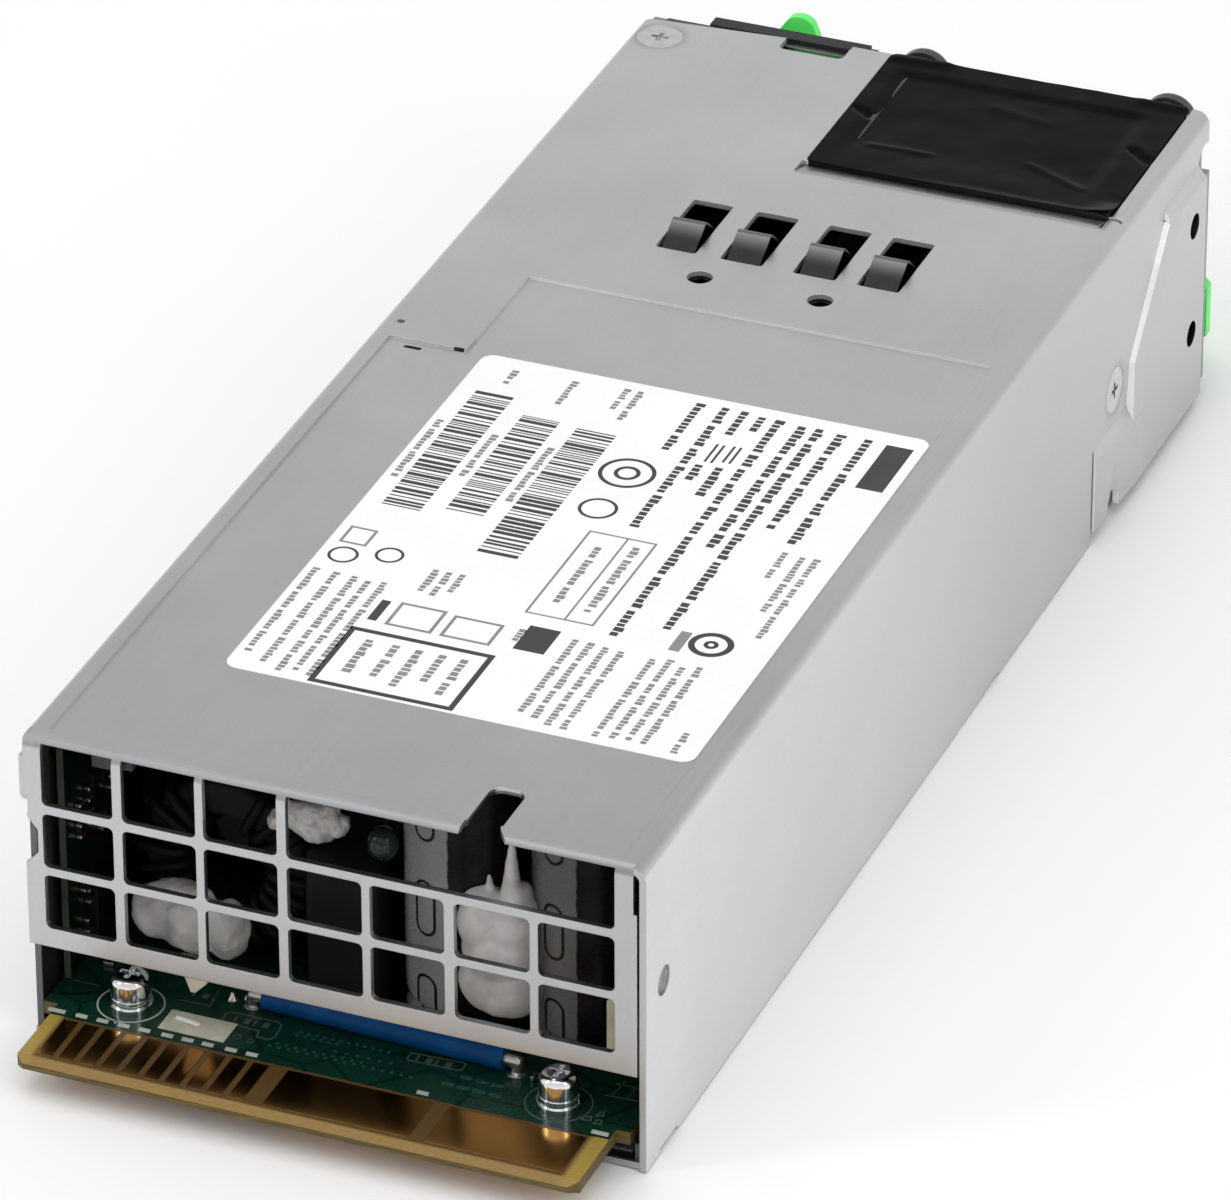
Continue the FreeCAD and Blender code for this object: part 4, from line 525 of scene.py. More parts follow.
MATS["label"] = label_paper()
MATS["sticker"] = sticker()
MATS["spring"] = spring_steel()
MATS["film"] = film()
MATS["board"] = board()
MATS["gboard"] = green_board()
MATS["gold"] = gold()
MATS["silicone"] = silicone()
MATS["blue"] = blue_sleeve()
MATS["sleeve"] = plastic("can_sleeve", (0.008, 0.008, 0.0085), 0.34, 0.06, Specular_IOR_Level=0.25)

NODE_MAT = {
    "top_cover": "zinc", "base_tray": "zinc_tray", "rear_panel": "zinc_panel", "cover_screws": "screw",
    "board_screws": "sems", "board_washers": "sems", "board_standoffs": "screw", "grounding_spring": "spring",
    "fan_films": "film", "rating_label": "label", "board_sticker": "sticker", "main_board": "board",
    "edge_contacts": "gold", "output_capacitors": "sleeve", "filter_capacitors": "sleeve",
    "bulk_capacitor": "sleeve", "output_choke_core": "darkferrite", "output_choke_winding": "enamel",
    "output_inductor": "chip", "thermistor_bead": "bead", "adhesive": "silicone", "link_wire": "tin",
    "link_sleeve": "blue", "control_board": "gboard", "control_board_chips": "chip", "heat_sinks": "alu",
    "power_transistors": "chip", "bridge_rectifier": "chip", "transformer_core": "ferrite",
    "transformer_winding": "tape", "small_transformers": "tape", "boost_choke_core": "ferrite",
    "boost_choke_winding": "copper", "filter_choke_core": "ferrite", "filter_choke_winding": "copper",
    "film_capacitors": "bluecase", "disc_components": "bluecase", "input_fuse": "ceramic",
    "inrush_relay": "black", "fan_housing": "fanblack", "fan_rotor": "fanblack", "fan_shaft": "steel",
    "fan_bearings": "steel", "fan_stator": "copper", "fan_lead": "lead", "fan_connector": "cream",
    "fan_guard": "blackwire", "fan_screws": "blacksteel", "inlet_housing": "black", "inlet_pins": "nickel",
    "inlet_wires": "lead", "handle": "greenp", "handle_blocks": "zinc_panel", "handle_pins": "steel",
    "release_lever": "greenp", "lever_housing": "black", "lever_pin": "steel", "lever_spring": "steel",
    "status_light_pipe": "pipe", "insulator_sheet": "clear",
}
for name, ob in N.items():
    mat = MATS[NODE_MAT.get(name, "black")]
    ob.data.materials.clear()
    ob.data.materials.append(mat)
    for p in ob.data.polygons:
        p.material_index = 0


# ----------------------------------------------------------------------------
# Mesh helpers, all in working millimetres
# ----------------------------------------------------------------------------
def finish_mesh(me, smooth=32.0):
    bm = bmesh.new()
    bm.from_mesh(me)
    bmesh.ops.recalc_face_normals(bm, faces=bm.faces)
    lim = math.radians(smooth)
    for f in bm.faces:
        f.smooth = True
    for e in bm.edges:
        e.smooth = e.is_manifold and e.calc_face_angle(0.0) < lim
    bm.to_mesh(me)
    bm.free()
    me.update()


def add(name, verts, faces, mat, slot, body="chassis", rep=(), smooth=32.0, origin=None):
    me = bpy.data.meshes.new(name)
    o3 = Vector((0, 0, 0)) if origin is None else mt(origin)
    me.from_pydata([mt(v) - o3 for v in verts], [], faces)
    me.validate()
    finish_mesh(me, smooth)
    me.materials.append(MATS[mat] if isinstance(mat, str) else mat)
    ob = bpy.data.objects.new(name, me)
    bpy.context.scene.collection.objects.link(ob)
    ob.location = o3
    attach(ob, body)
    if rep:
        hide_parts(*rep)
    return ob


class Heap:
    """Several closed shells gathered into one mesh."""

    def __init__(self):
        self.v, self.f = [], []

    def shell(self, verts, faces):
        n = len(self.v)
        self.v += [tuple(p) for p in verts]
        self.f += [tuple(i + n for i in f) for f in faces]

    def box(self, x0, y0, z0, x1, y1, z1):
        self.prism([(x0, y0), (x1, y0), (x1, y1), (x0, y1)], z0, z1)

    def prism(self, pts, a, b, axis="z"):
        n = len(pts)

        def at(p, h):
            if axis == "z":
                return (p[0], p[1], h)
            if axis == "y":
                return (p[0], h, p[1])
            return (h, p[0], p[1])
        vs = [at(p, a) for p in pts] + [at(p, b) for p in pts]
        fs = [tuple(range(n))[::-1], tuple(range(n, 2 * n))]
        fs += [(i, (i + 1) % n, n + (i + 1) % n, n + i) for i in range(n)]
        self.shell(vs, fs)

    def cbox(self, x0, y0, z0, x1, y1, z1, c):
        """Box with all its edges cut back by c."""
        vs, fs = [], []
        X, Y, Z = (x0, x1), (y0, y1), (z0, z1)
        idx = {}
        for i in (0, 1):
            for j in (0, 1):
                for k in (0, 1):
                    sx, sy, sz = (1 - 2 * i), (1 - 2 * j), (1 - 2 * k)
                    idx[(i, j, k, 0)] = len(vs)
                    vs.append((X[i], Y[j] + sy * c, Z[k] + sz * c))
                    idx[(i, j, k, 1)] = len(vs)
                    vs.append((X[i] + sx * c, Y[j], Z[k] + sz * c))
                    idx[(i, j, k, 2)] = len(vs)
                    vs.append((X[i] + sx * c, Y[j] + sy * c, Z[k]))
                    fs.append((idx[(i, j, k, 0)], idx[(i, j, k, 1)], idx[(i, j, k, 2)]))
        for i in (0, 1):
            fs.append(tuple(idx[(i, j, k, 0)] for j, k in ((0, 0), (1, 0), (1, 1), (0, 1))))
            fs.append(tuple(idx[(j, i, k, 1)] for j, k in ((0, 0), (1, 0), (1, 1), (0, 1))))
            fs.append(tuple(idx[(j, k, i, 2)] for j, k in ((0, 0), (1, 0), (1, 1), (0, 1))))
        for i in (0, 1):
            for j in (0, 1):
                fs.append((idx[(i, j, 0, 0)], idx[(i, j, 1, 0)], idx[(i, j, 1, 1)], idx[(i, j, 0, 1)]))
                fs.append((idx[(i, 0, j, 0)], idx[(i, 1, j, 0)], idx[(i, 1, j, 2)], idx[(i, 0, j, 2)]))
                fs.append((idx[(0, i, j, 1)], idx[(1, i, j, 1)], idx[(1, i, j, 2)], idx[(0, i, j, 2)]))
        self.shell(vs, fs)

    def ring(self, cx, cy, r, w, z0, z1, n=40, a0=0.0, a1=360.0):
        """Flat ring or arc, w wide, its middle at radius r."""
        full = a1 - a0 >= 359.9
        k = n if full else n + 1
        vs = []
        for i in range(k):
            a = math.radians(a0 + (a1 - a0) * i / n)
            ca, sa = math.cos(a), math.sin(a)
            for rr, zz in ((r - w / 2, z0), (r + w / 2, z0), (r + w / 2, z1), (r - w / 2, z1)):
                vs.append((cx + rr * ca, cy + rr * sa, zz))
        fs = []
        m = n if full else n
        for i in range(m):
            j = (i + 1) % k
            for q in range(4):
                fs.append((4 * i + q, 4 * i + (q + 1) % 4, 4 * j + (q + 1) % 4, 4 * j + q))
        if not full:
            fs.append((0, 1, 2, 3))
            fs.append((4 * n + 3, 4 * n + 2, 4 * n + 1, 4 * n))
        self.shell(vs, fs)

    def path(self, pts, w, z0, z1, closed=False):
        """Flat line of width w through pts."""
        P = [Vector((p[0], p[1])) for p in pts]
        n = len(P)
        L, R = [], []
        for i in range(n):
            a = P[(i - 1) % n] if (closed or i > 0) else None
            b = P[(i + 1) % n] if (closed or i < n - 1) else None
            d1 = (P[i] - a).normalized() if a is not None else None
            d2 = (b - P[i]).normalized() if b is not None else None
            d = (d1 + d2) if (d1 is not None and d2 is not None) else (d1 or d2)
            if d.length < 1e-6:
                d = d1
            d.normalize()
            nn = Vector((-d.y, d.x))
            s = 1.0
            if d1 is not None and d2 is not None:
                s = 1.0 / max(0.5, nn.dot(Vector((-d1.y, d1.x))))
            L.append(P[i] + nn * (w / 2 * s))
            R.append(P[i] - nn * (w / 2 * s))
        vs = []
        for i in range(n):
            vs += [(R[i].x, R[i].y, z0), (L[i].x, L[i].y, z0), (L[i].x, L[i].y, z1), (R[i].x, R[i].y, z1)]
        fs = []
        m = n if closed else n - 1
        for i in range(m):
            j = (i + 1) % n
            for q in range(4):
                fs.append((4 * i + q, 4 * i + (q + 1) % 4, 4 * j + (q + 1) % 4, 4 * j + q))
        if not closed:
            fs.append((0, 1, 2, 3))
            e = 4 * (n - 1)
            fs.append((e + 3, e + 2, e + 1, e))
        self.shell(vs, fs)

    def tube(self, pts, r, seg=10, closed=False, round_ends=True):
        """Round tube through points; r is a number or one number for each point."""
        P = [Vector(p) for p in pts]
        n = len(P)
        rr = [r] * n if isinstance(r, (int, float)) else list(r)
        T = []
        for i in range(n):
            if closed:
                t = P[(i + 1) % n] - P[(i - 1) % n]
            else:
                t = P[min(i + 1, n - 1)] - P[max(i - 1, 0)]
            T.append(t.normalized())
        up = Vector((0, 0, 1)) if abs(T[0].z) < 0.9 else Vector((1, 0, 0))
        u = T[0].cross(up).normalized()
        rings = []
        us = []
        for i in range(n):
            if i > 0:
                q = T[i - 1].rotation_difference(T[i])
                u = (q @ u)
                u = (u - T[i] * u.dot(T[i])).normalized()
            us.append(u.copy())
        twist = 0.0
        if closed:
            q = T[-1].rotation_difference(T[0])
            ue = q @ us[-1]
            v0 = T[0].cross(us[0])
            twist = math.atan2(ue.dot(v0), ue.dot(us[0]))
        for i in range(n):
            a_off = -twist * i / n if closed else 0.0
            v = T[i].cross(us[i])
            rings.append([P[i] + (us[i] * math.cos(2 * math.pi * k / seg + a_off) + v * math.sin(2 * math.pi * k / seg + a_off)) * rr[i] for k in range(seg)])
        if not closed and round_ends:
            def cap(i, sgn):
                out = []
                v = T[i].cross(us[i])
                for q in (0.5, 0.87):
                    rad = rr[i] * math.sqrt(max(0.0, 1 - q * q))
                    c = P[i] + T[i] * (sgn * rr[i] * q)
                    out.append([c + (us[i] * math.cos(2 * math.pi * k / seg) + v * math.sin(2 * math.pi * k / seg)) * rad for k in range(seg)])
                return out
            rings = cap(0, -1)[::-1] + rings + cap(n - 1, 1)
        vs = [p for ring in rings for p in ring]
        m = len(rings)
        fs = []
        for i in range(m if closed else m - 1):
            j = (i + 1) % m
            for k in range(seg):
                fs.append((i * seg + k, i * seg + (k + 1) % seg, j * seg + (k + 1) % seg, j * seg + k))
        if not closed:
            fs.append(tuple(range(seg))[::-1])
            fs.append(tuple((m - 1) * seg + k for k in range(seg)))
        self.shell(vs, fs)

    def lathe(self, prof, c, axis="z", seg=48):
        """prof: (radius, height) from the bottom centre to the top centre; both ends on the axis."""
        vs, fs = [], []
        rings = []
        for (r, h) in prof:
            if r < 1e-6:
                rings.append([len(vs)])
                vs.append((0.0, 0.0, h))
            else:
                rings.append(list(range(len(vs), len(vs) + seg)))
                for k in range(seg):
                    a = 2 * math.pi * k / seg
                    vs.append((r * math.cos(a), r * math.sin(a), h))
        for a, b in zip(rings, rings[1:]):
            for k in range(seg):
                k2 = (k + 1) % seg
                if len(a) == 1 and len(b) == 1:
                    continue
                if len(a) == 1:
                    fs.append((a[0], b[k2], b[k]))
                elif len(b) == 1:
                    fs.append((a[k], a[k2], b[0]))
                else:
                    fs.append((a[k], a[k2], b[k2], b[k]))
        if axis == "y":
            vs = [(c[0] + p[0], c[1] + p[2], c[2] - p[1]) for p in vs]
        elif axis == "x":
            vs = [(c[0] + p[2], c[1] + p[0], c[2] + p[1]) for p in vs]
        else:
            vs = [(c[0] + p[0], c[1] + p[1], c[2] + p[2]) for p in vs]
        self.shell(vs, fs)

    def make(self, name, mat, slot, **kw):
        return add(name, self.v, self.f, mat, slot, **kw)


# ----------------------------------------------------------------------------
# Rating label: plain bars and blocks in place of its wording
# ----------------------------------------------------------------------------
rnd = random.Random(4367)
Z0P, Z1P = 38.474, 38.489


def words(h, x, y0, y1, size, solid=False):
    """One line read towards -Y: word-long groups of short plain blocks."""
    y = y0
    while y > y1 + 0.3:
        n = rnd.randint(3, 9)
        if solid:
            ln = min(n * size * 0.62, y - y1)
            h.box(x - size * 0.42, y - ln, Z0P, x + size * 0.42, y, Z1P)
            y -= ln + size * 0.5
            continue
        for _ in range(n):
            w = size * rnd.choice((0.42, 0.5, 0.55, 0.62))
            if y - w < y1:
                y = y1
                break
            up = size * rnd.choice((0.28, 0.3, 0.46))
            h.box(x - size * 0.36, y - w, Z0P, x + up, y, Z1P)
            y -= w + size * 0.16
        y -= size * 0.42


big, small = Heap(), Heap()
for (x, y0, y1, s) in ((26.4, 94.9, 68.9, 1.5), (23.0, 94.8, 71.4, 1.5), (20.3, 95.1, 46.6, 1.45), (18.2, 94.9, 65.0, 1.45),
                       (15.3, 95.3, 43.8, 1.45), (8.5, 95.7, 65.3, 1.4), (5.4, 95.6, 82.8, 1.4)):
    words(big, x, y0, y1, s)
for (x, y0, y1) in ((13.2, 95.2, 90.8), (12.8, 82.6, 75.6), (10.9, 95.7, 89.5), (10.4, 82.4, 78.7)):
    words(big, x, y0, y1, 1.4)
for (x, y0, y1) in ((13.0, 87.8, 83.9), (11.0, 87.6, 83.3)):
    big.box(x - 0.55, y1, Z0P, x - 0.25, y0, Z1P)
    big.box(x + 0.25, y1, Z0P, x + 0.55, y0, Z1P)
# plain bar in the maker's place
big.prism([(28.6, 94.6), (28.6, 84.2), (31.9, 84.2), (31.9, 94.6)], Z0P, Z1P)
for (x, y0, y1) in ((30.4, 67.6, 48.8), (28.8, 67.4, 54.6), (26.6, 67.7, 61.7), (30.5, 27.8, 22.9), (-17.4, 94.8, 91.5),
                    (-10.0, 95.0, 88.5), (-2.0, 95.6, 87.9), (-3.7, 95.6, 90.2), (-21.1, 81.0, 66.5), (-13.9, 80.1, 69.5),
                    (-6.8, 79.7, 66.4), (-21.0, 45.2, 25.5), (-18.5, 45.1, 24.1), (-16.2, 45.0, 23.0), (-14.4, 44.6, 23.5),
                    (-12.6, 45.0, 23.2), (-8.3, 49.7, 44.5), (-6.7, 49.7, 43.2), (-5.1, 49.8, 45.7), (5.6, 41.4, 38.1),
                    (11.9, 41.5, 24.4), (13.7, 41.5, 24.0), (15.6, 41.2, 23.6), (17.5, 41.0, 23.2), (21.3, 40.8, 23.4),
                    (23.2, 41.4, 23.4), (25.0, 40.4, 23.5), (26.8, 41.1, 23.9)):
    words(small, x, y0, y1, 1.05)
for (x0, x1, y0, y1) in ((-19.9, -15.2, 61.0, 89.0), (-12.7, -8.1, 62.6, 85.5), (-5.8, -0.9, 55.2, 85.0)):
    y = y0
    while y < y1:
        w = rnd.choice((0.22, 0.22, 0.44, 0.66))
        big.box(x0, y, Z0P, x1, min(y + w, y1), Z1P)
        y += w + rnd.choice((0.22, 0.3, 0.5))


def frame_line(h, x0, y0, x1, y1, w):
    h.path([(x0, y0), (x1, y0), (x1, y1), (x0, y1)], w, Z0P, Z1P, closed=True)


frame_line(small, 4.4, 45.0, 12.4, 64.0, 0.28)
small.box(8.9, 45.1, Z0P, 9.15, 63.9, Z1P)
words(small, 10.7, 62.5, 47.0, 1.2)
words(small, 6.7, 61.0, 48.0, 1.2)
big.box(6.0, 37.2, Z0P, 9.7, 42.5, Z1P)
frame_line(big, -12.0, 22.9, 4.6, 34.7, 0.7)
for i, (x, y0, y1) in enumerate(((2.2, 33.0, 25.0), (-0.4, 33.0, 27.0), (-3.2, 33.0, 24.6), (-6.0, 33.0, 26.0), (-9.2, 33.0, 24.9))):
    words(small, x, y0, y1, 1.35)
for (cx_, cy_, r_, w_) in ((3.4, 77.6, 3.1, 0.5), (3.3, 69.0, 2.1, 0.4), (26.1, 46.0, 2.2, 0.75), (-19.4, 48.9, 1.6, 0.35), (-14.5, 50.7, 1.5, 0.35)):
    big.ring(cx_, cy_, r_, w_, Z0P, Z1P, 36)
for (cx_, cy_, r_) in ((3.4, 77.6, 1.3), (26.1, 46.0, 0.6)):
    big.ring(cx_, cy_, r_, 0.5, Z0P, Z1P, 28)
big.box(-11.4, 37.0, Z0P, -10.3, 41.5, Z1P)
frame_line(small, -2.4, 36.9, 3.2, 41.2, 0.4)
frame_line(small, -9.0, 36.9, -3.8, 41.6, 0.4)
small.box(22.0, 43.3, Z0P, 23.3, 47.6, Z1P)
frame_line(small, -20.9, 51.6, -17.9, 55.0, 0.35)
big.make("label_print_dark", "printdark", "label_white")
small.make("label_print_grey", "printgrey", "label_white")

# ----------------------------------------------------------------------------
# Main board: markings, vias, solder, small parts
# ----------------------------------------------------------------------------
ZB = 4.6
ZS0, ZS1 = 4.59, 4.625
sk, sd, via = Heap(), Heap(), Heap()
marks = [(-32.7, 2.1), (-29.7, 1.4), (-27.15, 1.4), (-24.6, 1.4), (-22.1, 1.4), (-19.35, 1.4), (-16.9, 1.4), (-14.5, 1.4),
         (-11.7, 1.4), (-9.2, 1.4), (11.1, 1.4), (31.9, 2.0)]
for (x, w) in marks:
    sl = 0.12
    sk.prism([(x - w / 2, -1.42), (x + w / 2, -1.42), (x + w / 2 - sl, -0.68), (x - w / 2 - sl, -0.68)], ZS0, ZS1)
sk.ring(-25.7, 3.2, 3.72, 0.22, ZS0, ZS1, 48)
sk.path([(-25.9, -0.42), (-25.75, -1.0)], 0.3, ZS0, ZS1)
sd.ring(25.5, 2.7, 3.72, 0.22, ZS0, ZS1, 48)
sd.path([(-35.0, 6.9), (-34.5, 7.9)], 0.2, ZS0, ZS1)
sd.path([(-33.7, 5.2), (-30.4, 5.2)], 0.16, ZS0, ZS1)
sd.path([(-21.0, 5.95), (-17.45, 6.05), (-17.5, 7.2), (-17.9, 9.3)], 0.2, ZS0, ZS1)
sd.path([(-15.1, 4.2), (-15.15, 5.2), (-14.7, 5.86), (-9.2, 5.9), (-8.5, 5.4), (-8.3, 3.1), (-8.8, 2.3), (-10.2, 2.35), (-10.4, 3.45),
         (-14.5, 3.72)], 0.24, ZS0, ZS1, closed=True)
sd.path([(6.85, 5.75), (12.9, 6.1), (13.25, 5.9), (13.2, 4.75), (12.8, 4.45), (7.1, 4.3), (6.8, 4.6)], 0.24, ZS0, ZS1, closed=True)
for (x0, yc, n_) in ((-13.9, 4.8, 4), (7.7, 5.1, 4), (-20.2, 7.7, 3)):
    for k in range(n_):
        sd.box(x0 + k * 1.15, yc - 0.5, ZS0, x0 + k * 1.15 + (0.75 if k % 2 else 0.3), yc + 0.5, ZS1)
sd.path([(29.5, 6.0), (33.3, 6.2)], 0.24, ZS0, ZS1)
sd.path([(29.9, 8.5), (33.3, 8.6)], 0.24, ZS0, ZS1)
sd.path([(30.3, 6.1), (30.7, 9.4)], 0.2, ZS0, ZS1)
sd.path([(32.0, 6.1), (32.4, 9.6)], 0.2, ZS0, ZS1)
for (x, y, w) in ((29.5, 0.6, 1.0), (30.9, 0.4, 0.8), (30.6, 1.9, 0.7)):
    sd.path([(x - w / 2, y), (x + w / 2, y + 0.2), (x + w / 2 - 0.2, y + 0.9), (x - w / 2 + 0.1, y + 0.8)], 0.22, ZS0, ZS1, closed=True)
sk.make("board_marks", "silk", "board_laminate")
sd.make("board_outlines", "silkdim", "board_laminate")


def dot(h, x, y, r, z0, z1, n=14):
    h.prism([(x + r * math.cos(2 * math.pi * k / n), y + r * math.sin(2 * math.pi * k / n)) for k in range(n)], z0, z1)


for j, (yy, xa, xb, st) in enumerate(((1.35, -8.2, 8.9, 1.12), (1.95, -7.6, 3.0, 1.12), (4.35, -6.2, -0.6, 0.95), (5.0, -6.0, 5.2, 0.95), (3.0, -1.0, 5.8, 1.3))):
    x = xa
    while x <= xb:
        dot(via, x, yy + rnd.uniform(-0.05, 0.05), 0.26, 4.59, 4.63)
        x += st
for (x, y) in ((12.9, 1.6), (14.7, 1.55), (16.6, 1.5), (18.5, 1.45), (14.3, 3.5), (16.2, 3.4), (18.0, 3.35)):
    for t in (-0.45, 0.45):
        dot(via, x + t, y, 0.34, 4.59, 4.64)
    via.box(x - 0.45, y - 0.34, 4.59, x + 0.45, y + 0.34, 4.635)
for (x, y) in ((-12.1, 1.55), (-10.5, 1.3)):
    via.ring(x, y, 0.4, 0.2, 4.59, 4.64, 18)
via.make("board_vias", "soldermask_via", "board_laminate")

# solder cones and pads where wires pass through
sol = Heap()
for (x, y, r, h_) in ((-13.1, 8.1, 1.15, 0.75), (19.0, 6.45, 1.15, 0.75), (-15.7, 8.3, 0.7, 0.9), (-14.2, 9.0, 0.5, 0.6), (5.8, 16.5, 0.7, 0.5),
                      (12.8, 16.5, 0.7, 0.5), (20.9, 16.5, 0.7, 0.5), (27.9, 16.5, 0.7, 0.5)):
    sol.lathe([(0, 4.55), (r, 4.55), (r, 4.66), (r * 0.75, 4.62 + h_ * 0.25), (r * 0.5, 4.62 + h_ * 0.6), (r * 0.3, 4.6 + h_), (0, 4.62 + h_)], (x, y, 0), seg=20)
sol.make("solder_joints", "tin", "tinned_wire")

# cut in the board sticker: a lifted sliver, coloured with the white label paper as a painted highlight along the slit
sl = Heap()
sl.path([(-19.9, 2.5), (-18.4, 2.28), (-16.9, 2.02)], 0.5, 4.66, 4.8)
sl.make("sticker_sliver_highlight", "label", "label_white")

# small parts on the board near the front
smd, smt = Heap(), Heap()


def chip_part(x, y, z, lx, ly, hz, axis="x"):
    """Two-ended surface part, lying on the board."""
    c = 0.08
    if axis == "x":
        e = lx * 0.22
        smd.cbox(x - lx / 2 + e, y - ly / 2 + 0.02, z, x + lx / 2 - e, y + ly / 2 - 0.02, z + hz - 0.03, 0.04)
        smt.cbox(x - lx / 2, y - ly / 2, z, x - lx / 2 + e, y + ly / 2, z + hz, c)
        smt.cbox(x + lx / 2 - e, y - ly / 2, z, x + lx / 2, y + ly / 2, z + hz, c)
    else:
        e = ly * 0.22
        smd.cbox(x - lx / 2 + 0.02, y - ly / 2 + e, z, x + lx / 2 - 0.02, y + ly / 2 - e, z + hz - 0.03, 0.04)
        smt.cbox(x - lx / 2, y - ly / 2, z, x + lx / 2, y - ly / 2 + e, z + hz, c)
        smt.cbox(x - lx / 2, y + ly / 2 - e, z, x + lx / 2, y + ly / 2, z + hz, c)


for (x, y, a) in ((-8.0, 12.0, "x"), (-3.5, 25.5, "y"), (22.0, 6.0, "x"), (30.0, 12.5, "y"), (32.4, 12.5, "y"), (-31.2, 10.0, "y")):
    chip_part(x, y, 4.6, 2.0 if a == "x" else 1.25, 1.25 if a == "x" else 2.0, 0.6, a)


def wall_part(x, y, z, ly, lz, hx):
    e = lz * 0.24
    smd.cbox(x, y - ly / 2 + 0.02, z - lz / 2 + e, x + hx - 0.03, y + ly / 2 - 0.02, z + lz / 2 - e, 0.04)
    smt.cbox(x, y - ly / 2, z - lz / 2, x + hx, y + ly / 2, z - lz / 2 + e, 0.1)
    smt.cbox(x, y - ly / 2, z + lz / 2 - e, x + hx, y + ly / 2, z + lz / 2, 0.1)


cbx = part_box("control_board")[1].x * 1000.0
for (y, z) in ((8.2, 25.2), (8.2, 22.6), (10.6, 26.0), (10.6, 23.0), (8.6, 15.4), (9.8, 13.2), (11.4, 12.6), (9.2, 9.6), (13.6, 20.6),
               (16.0, 27.6), (16.0, 24.6), (21.0, 18.4), (26.0, 15.2)):
    wall_part(cbx, y, z, 1.2, 1.9, 0.75)
smd.make("surface_parts", "chip", "chip_plastic")
smt.make("surface_part_ends", "tin", "tinned_wire")

# cream spacer at the right wall, tab at the left, and a tape flag
cr = Heap()
cr.cbox(29.7, 6.0, 9.4, 35.9, 7.1, 16.9, 0.22)
cr.cbox(33.8, 6.0, 8.9, 35.9, 12.0, 17.3, 0.22)
cr.prism([(-19.7, 12.3), (-19.1, 9.75), (-18.4, 7.95), (-17.9, 7.95), (-16.4, 9.5), (-15.9, 12.3)], 3.2, 4.0, "y")
cr.make("cream_spacers", "cream", "cream_plastic")
tf = Heap()
tf.cbox(-31.1, 6.4, 32.3, -27.6, 9.2, 34.5, 0.15)
tf.cbox(-31.6, 8.6, 31.2, -27.2, 9.6, 36.4, 0.12)
tf.make("grey_connector", "greyconn", "chip_plastic")


# ----------------------------------------------------------------------------
# Output capacitors
# ----------------------------------------------------------------------------
def capacitor(name, cx_, cy_, phase, tone, rep):
    prof = [(0, 5.0), (6.0, 5.0), (6.75, 5.25), (7.0, 5.7), (7.02, 6.2), (6.86, 6.55), (6.5, 6.9), (6.38, 7.3), (6.5, 7.7), (6.86, 8.05), (7.02, 8.5),
            (7.05, 12.0), (7.05, 30.0), (7.02, 35.6), (6.9, 36.3), (6.6, 36.72), (6.25, 36.86), (5.95, 36.88), (5.85, 36.7), (5.85, 36.45), (0, 36.45)]
    h = Heap()
    h.lathe(prof, (cx_, cy_, 0), seg=72)
    return h.make(name, cap_sleeve(name + "_sleeve", phase, tone), "capacitor_sleeve", rep=rep, origin=(cx_, cy_, 0), smooth=40)


capacitor("output_capacitor_left", 9.3, 16.5, 20.98, 0.21, ("output_capacitors",))
capacitor("output_capacitor_right", 24.4, 16.5, 21.5, 0.115, ())
tp = Heap()
for (cx_, cy_) in ((9.3, 16.5), (24.4, 16.5)):
    tp.lathe([(0, 36.3), (5.86, 36.3), (5.86, 36.5), (5.5, 36.62), (0.9, 36.6), (0.6, 36.5), (0, 36.5)], (cx_, cy_, 0), seg=48)
    for k in range(3):
        a = math.radians(90 + 120 * k)
        tp.tube([(cx_ + 0.3 * math.cos(a), cy_ + 0.3 * math.sin(a), 36.6), (cx_ + 4.2 * math.cos(a), cy_ + 4.2 * math.sin(a), 36.62)], 0.09, 6)
tp.make("capacitor_tops", "alu", "aluminium")


# ----------------------------------------------------------------------------
# Choke windings
# ----------------------------------------------------------------------------
def winding(name, C, axis, angs, ri, ro, hh, w, mat, slot, rep, ends=()):
    h = Heap()
    r_ = random.Random(7)
    for a in angs:
        jit = r_.uniform(-0.02, 0.02)
        lift = r_.uniform(0.0, 0.18)
        pts = []
        rm, ra = (ri + ro) / 2, (ro - ri) / 2 + lift * 0.5
        for k in range(26):
            t = 2 * math.pi * k / 26
            c, s = math.cos(t), math.sin(t)
            e = 0.42
            pr = rm + ra * math.copysign(abs(c) ** e, c)
            ph = (hh + lift) * math.copysign(abs(s) ** e, s)
            aa = a + jit + 0.035 * math.sin(t)
            if axis == "y":
                pts.append((C[0] + pr * math.cos(aa), C[1] + ph, C[2] + pr * math.sin(aa)))
            else:
                pts.append((C[0] + pr * math.cos(aa), C[1] + pr * math.sin(aa), C[2] + ph))
        h.tube(pts, w, 9, closed=True)
    for e in ends:
        h.tube(e, w, 9)
    return h.make(name, mat, slot, rep=rep, smooth=60)


TC = (-19.4, 19.5, 17.4)
angs = [2 * math.pi * k / 22 for k in range(22) if k not in (5, 6)]
winding("output_choke_turns", TC, "y", angs, 5.05, 10.75, 4.7, 0.66, "enamel", "black_enamel_wire", ("output_choke_winding",),
        ends=([(TC[0] - 6.6, TC[1] - 4.7, TC[2] - 8.2), (TC[0] - 6.9, TC[1] - 4.9, 7.0), (TC[0] - 6.9, TC[1] - 4.9, 4.7)],
              [(TC[0] + 6.6, TC[1] + 4.7, TC[2] - 8.2), (TC[0] + 6.9, TC[1] + 4.9, 7.0), (TC[0] + 6.9, TC[1] + 4.9, 4.7)]))
angs = [2 * math.pi * k / 24 for k in range(24) if k not in (11, 12)]
winding("boost_choke_turns", (-15.6, 90.0, 11.8), "z", angs, 5.55, 12.75, 6.25, 0.7, "copper", "copper_wire", ("boost_choke_winding",))
angs = []
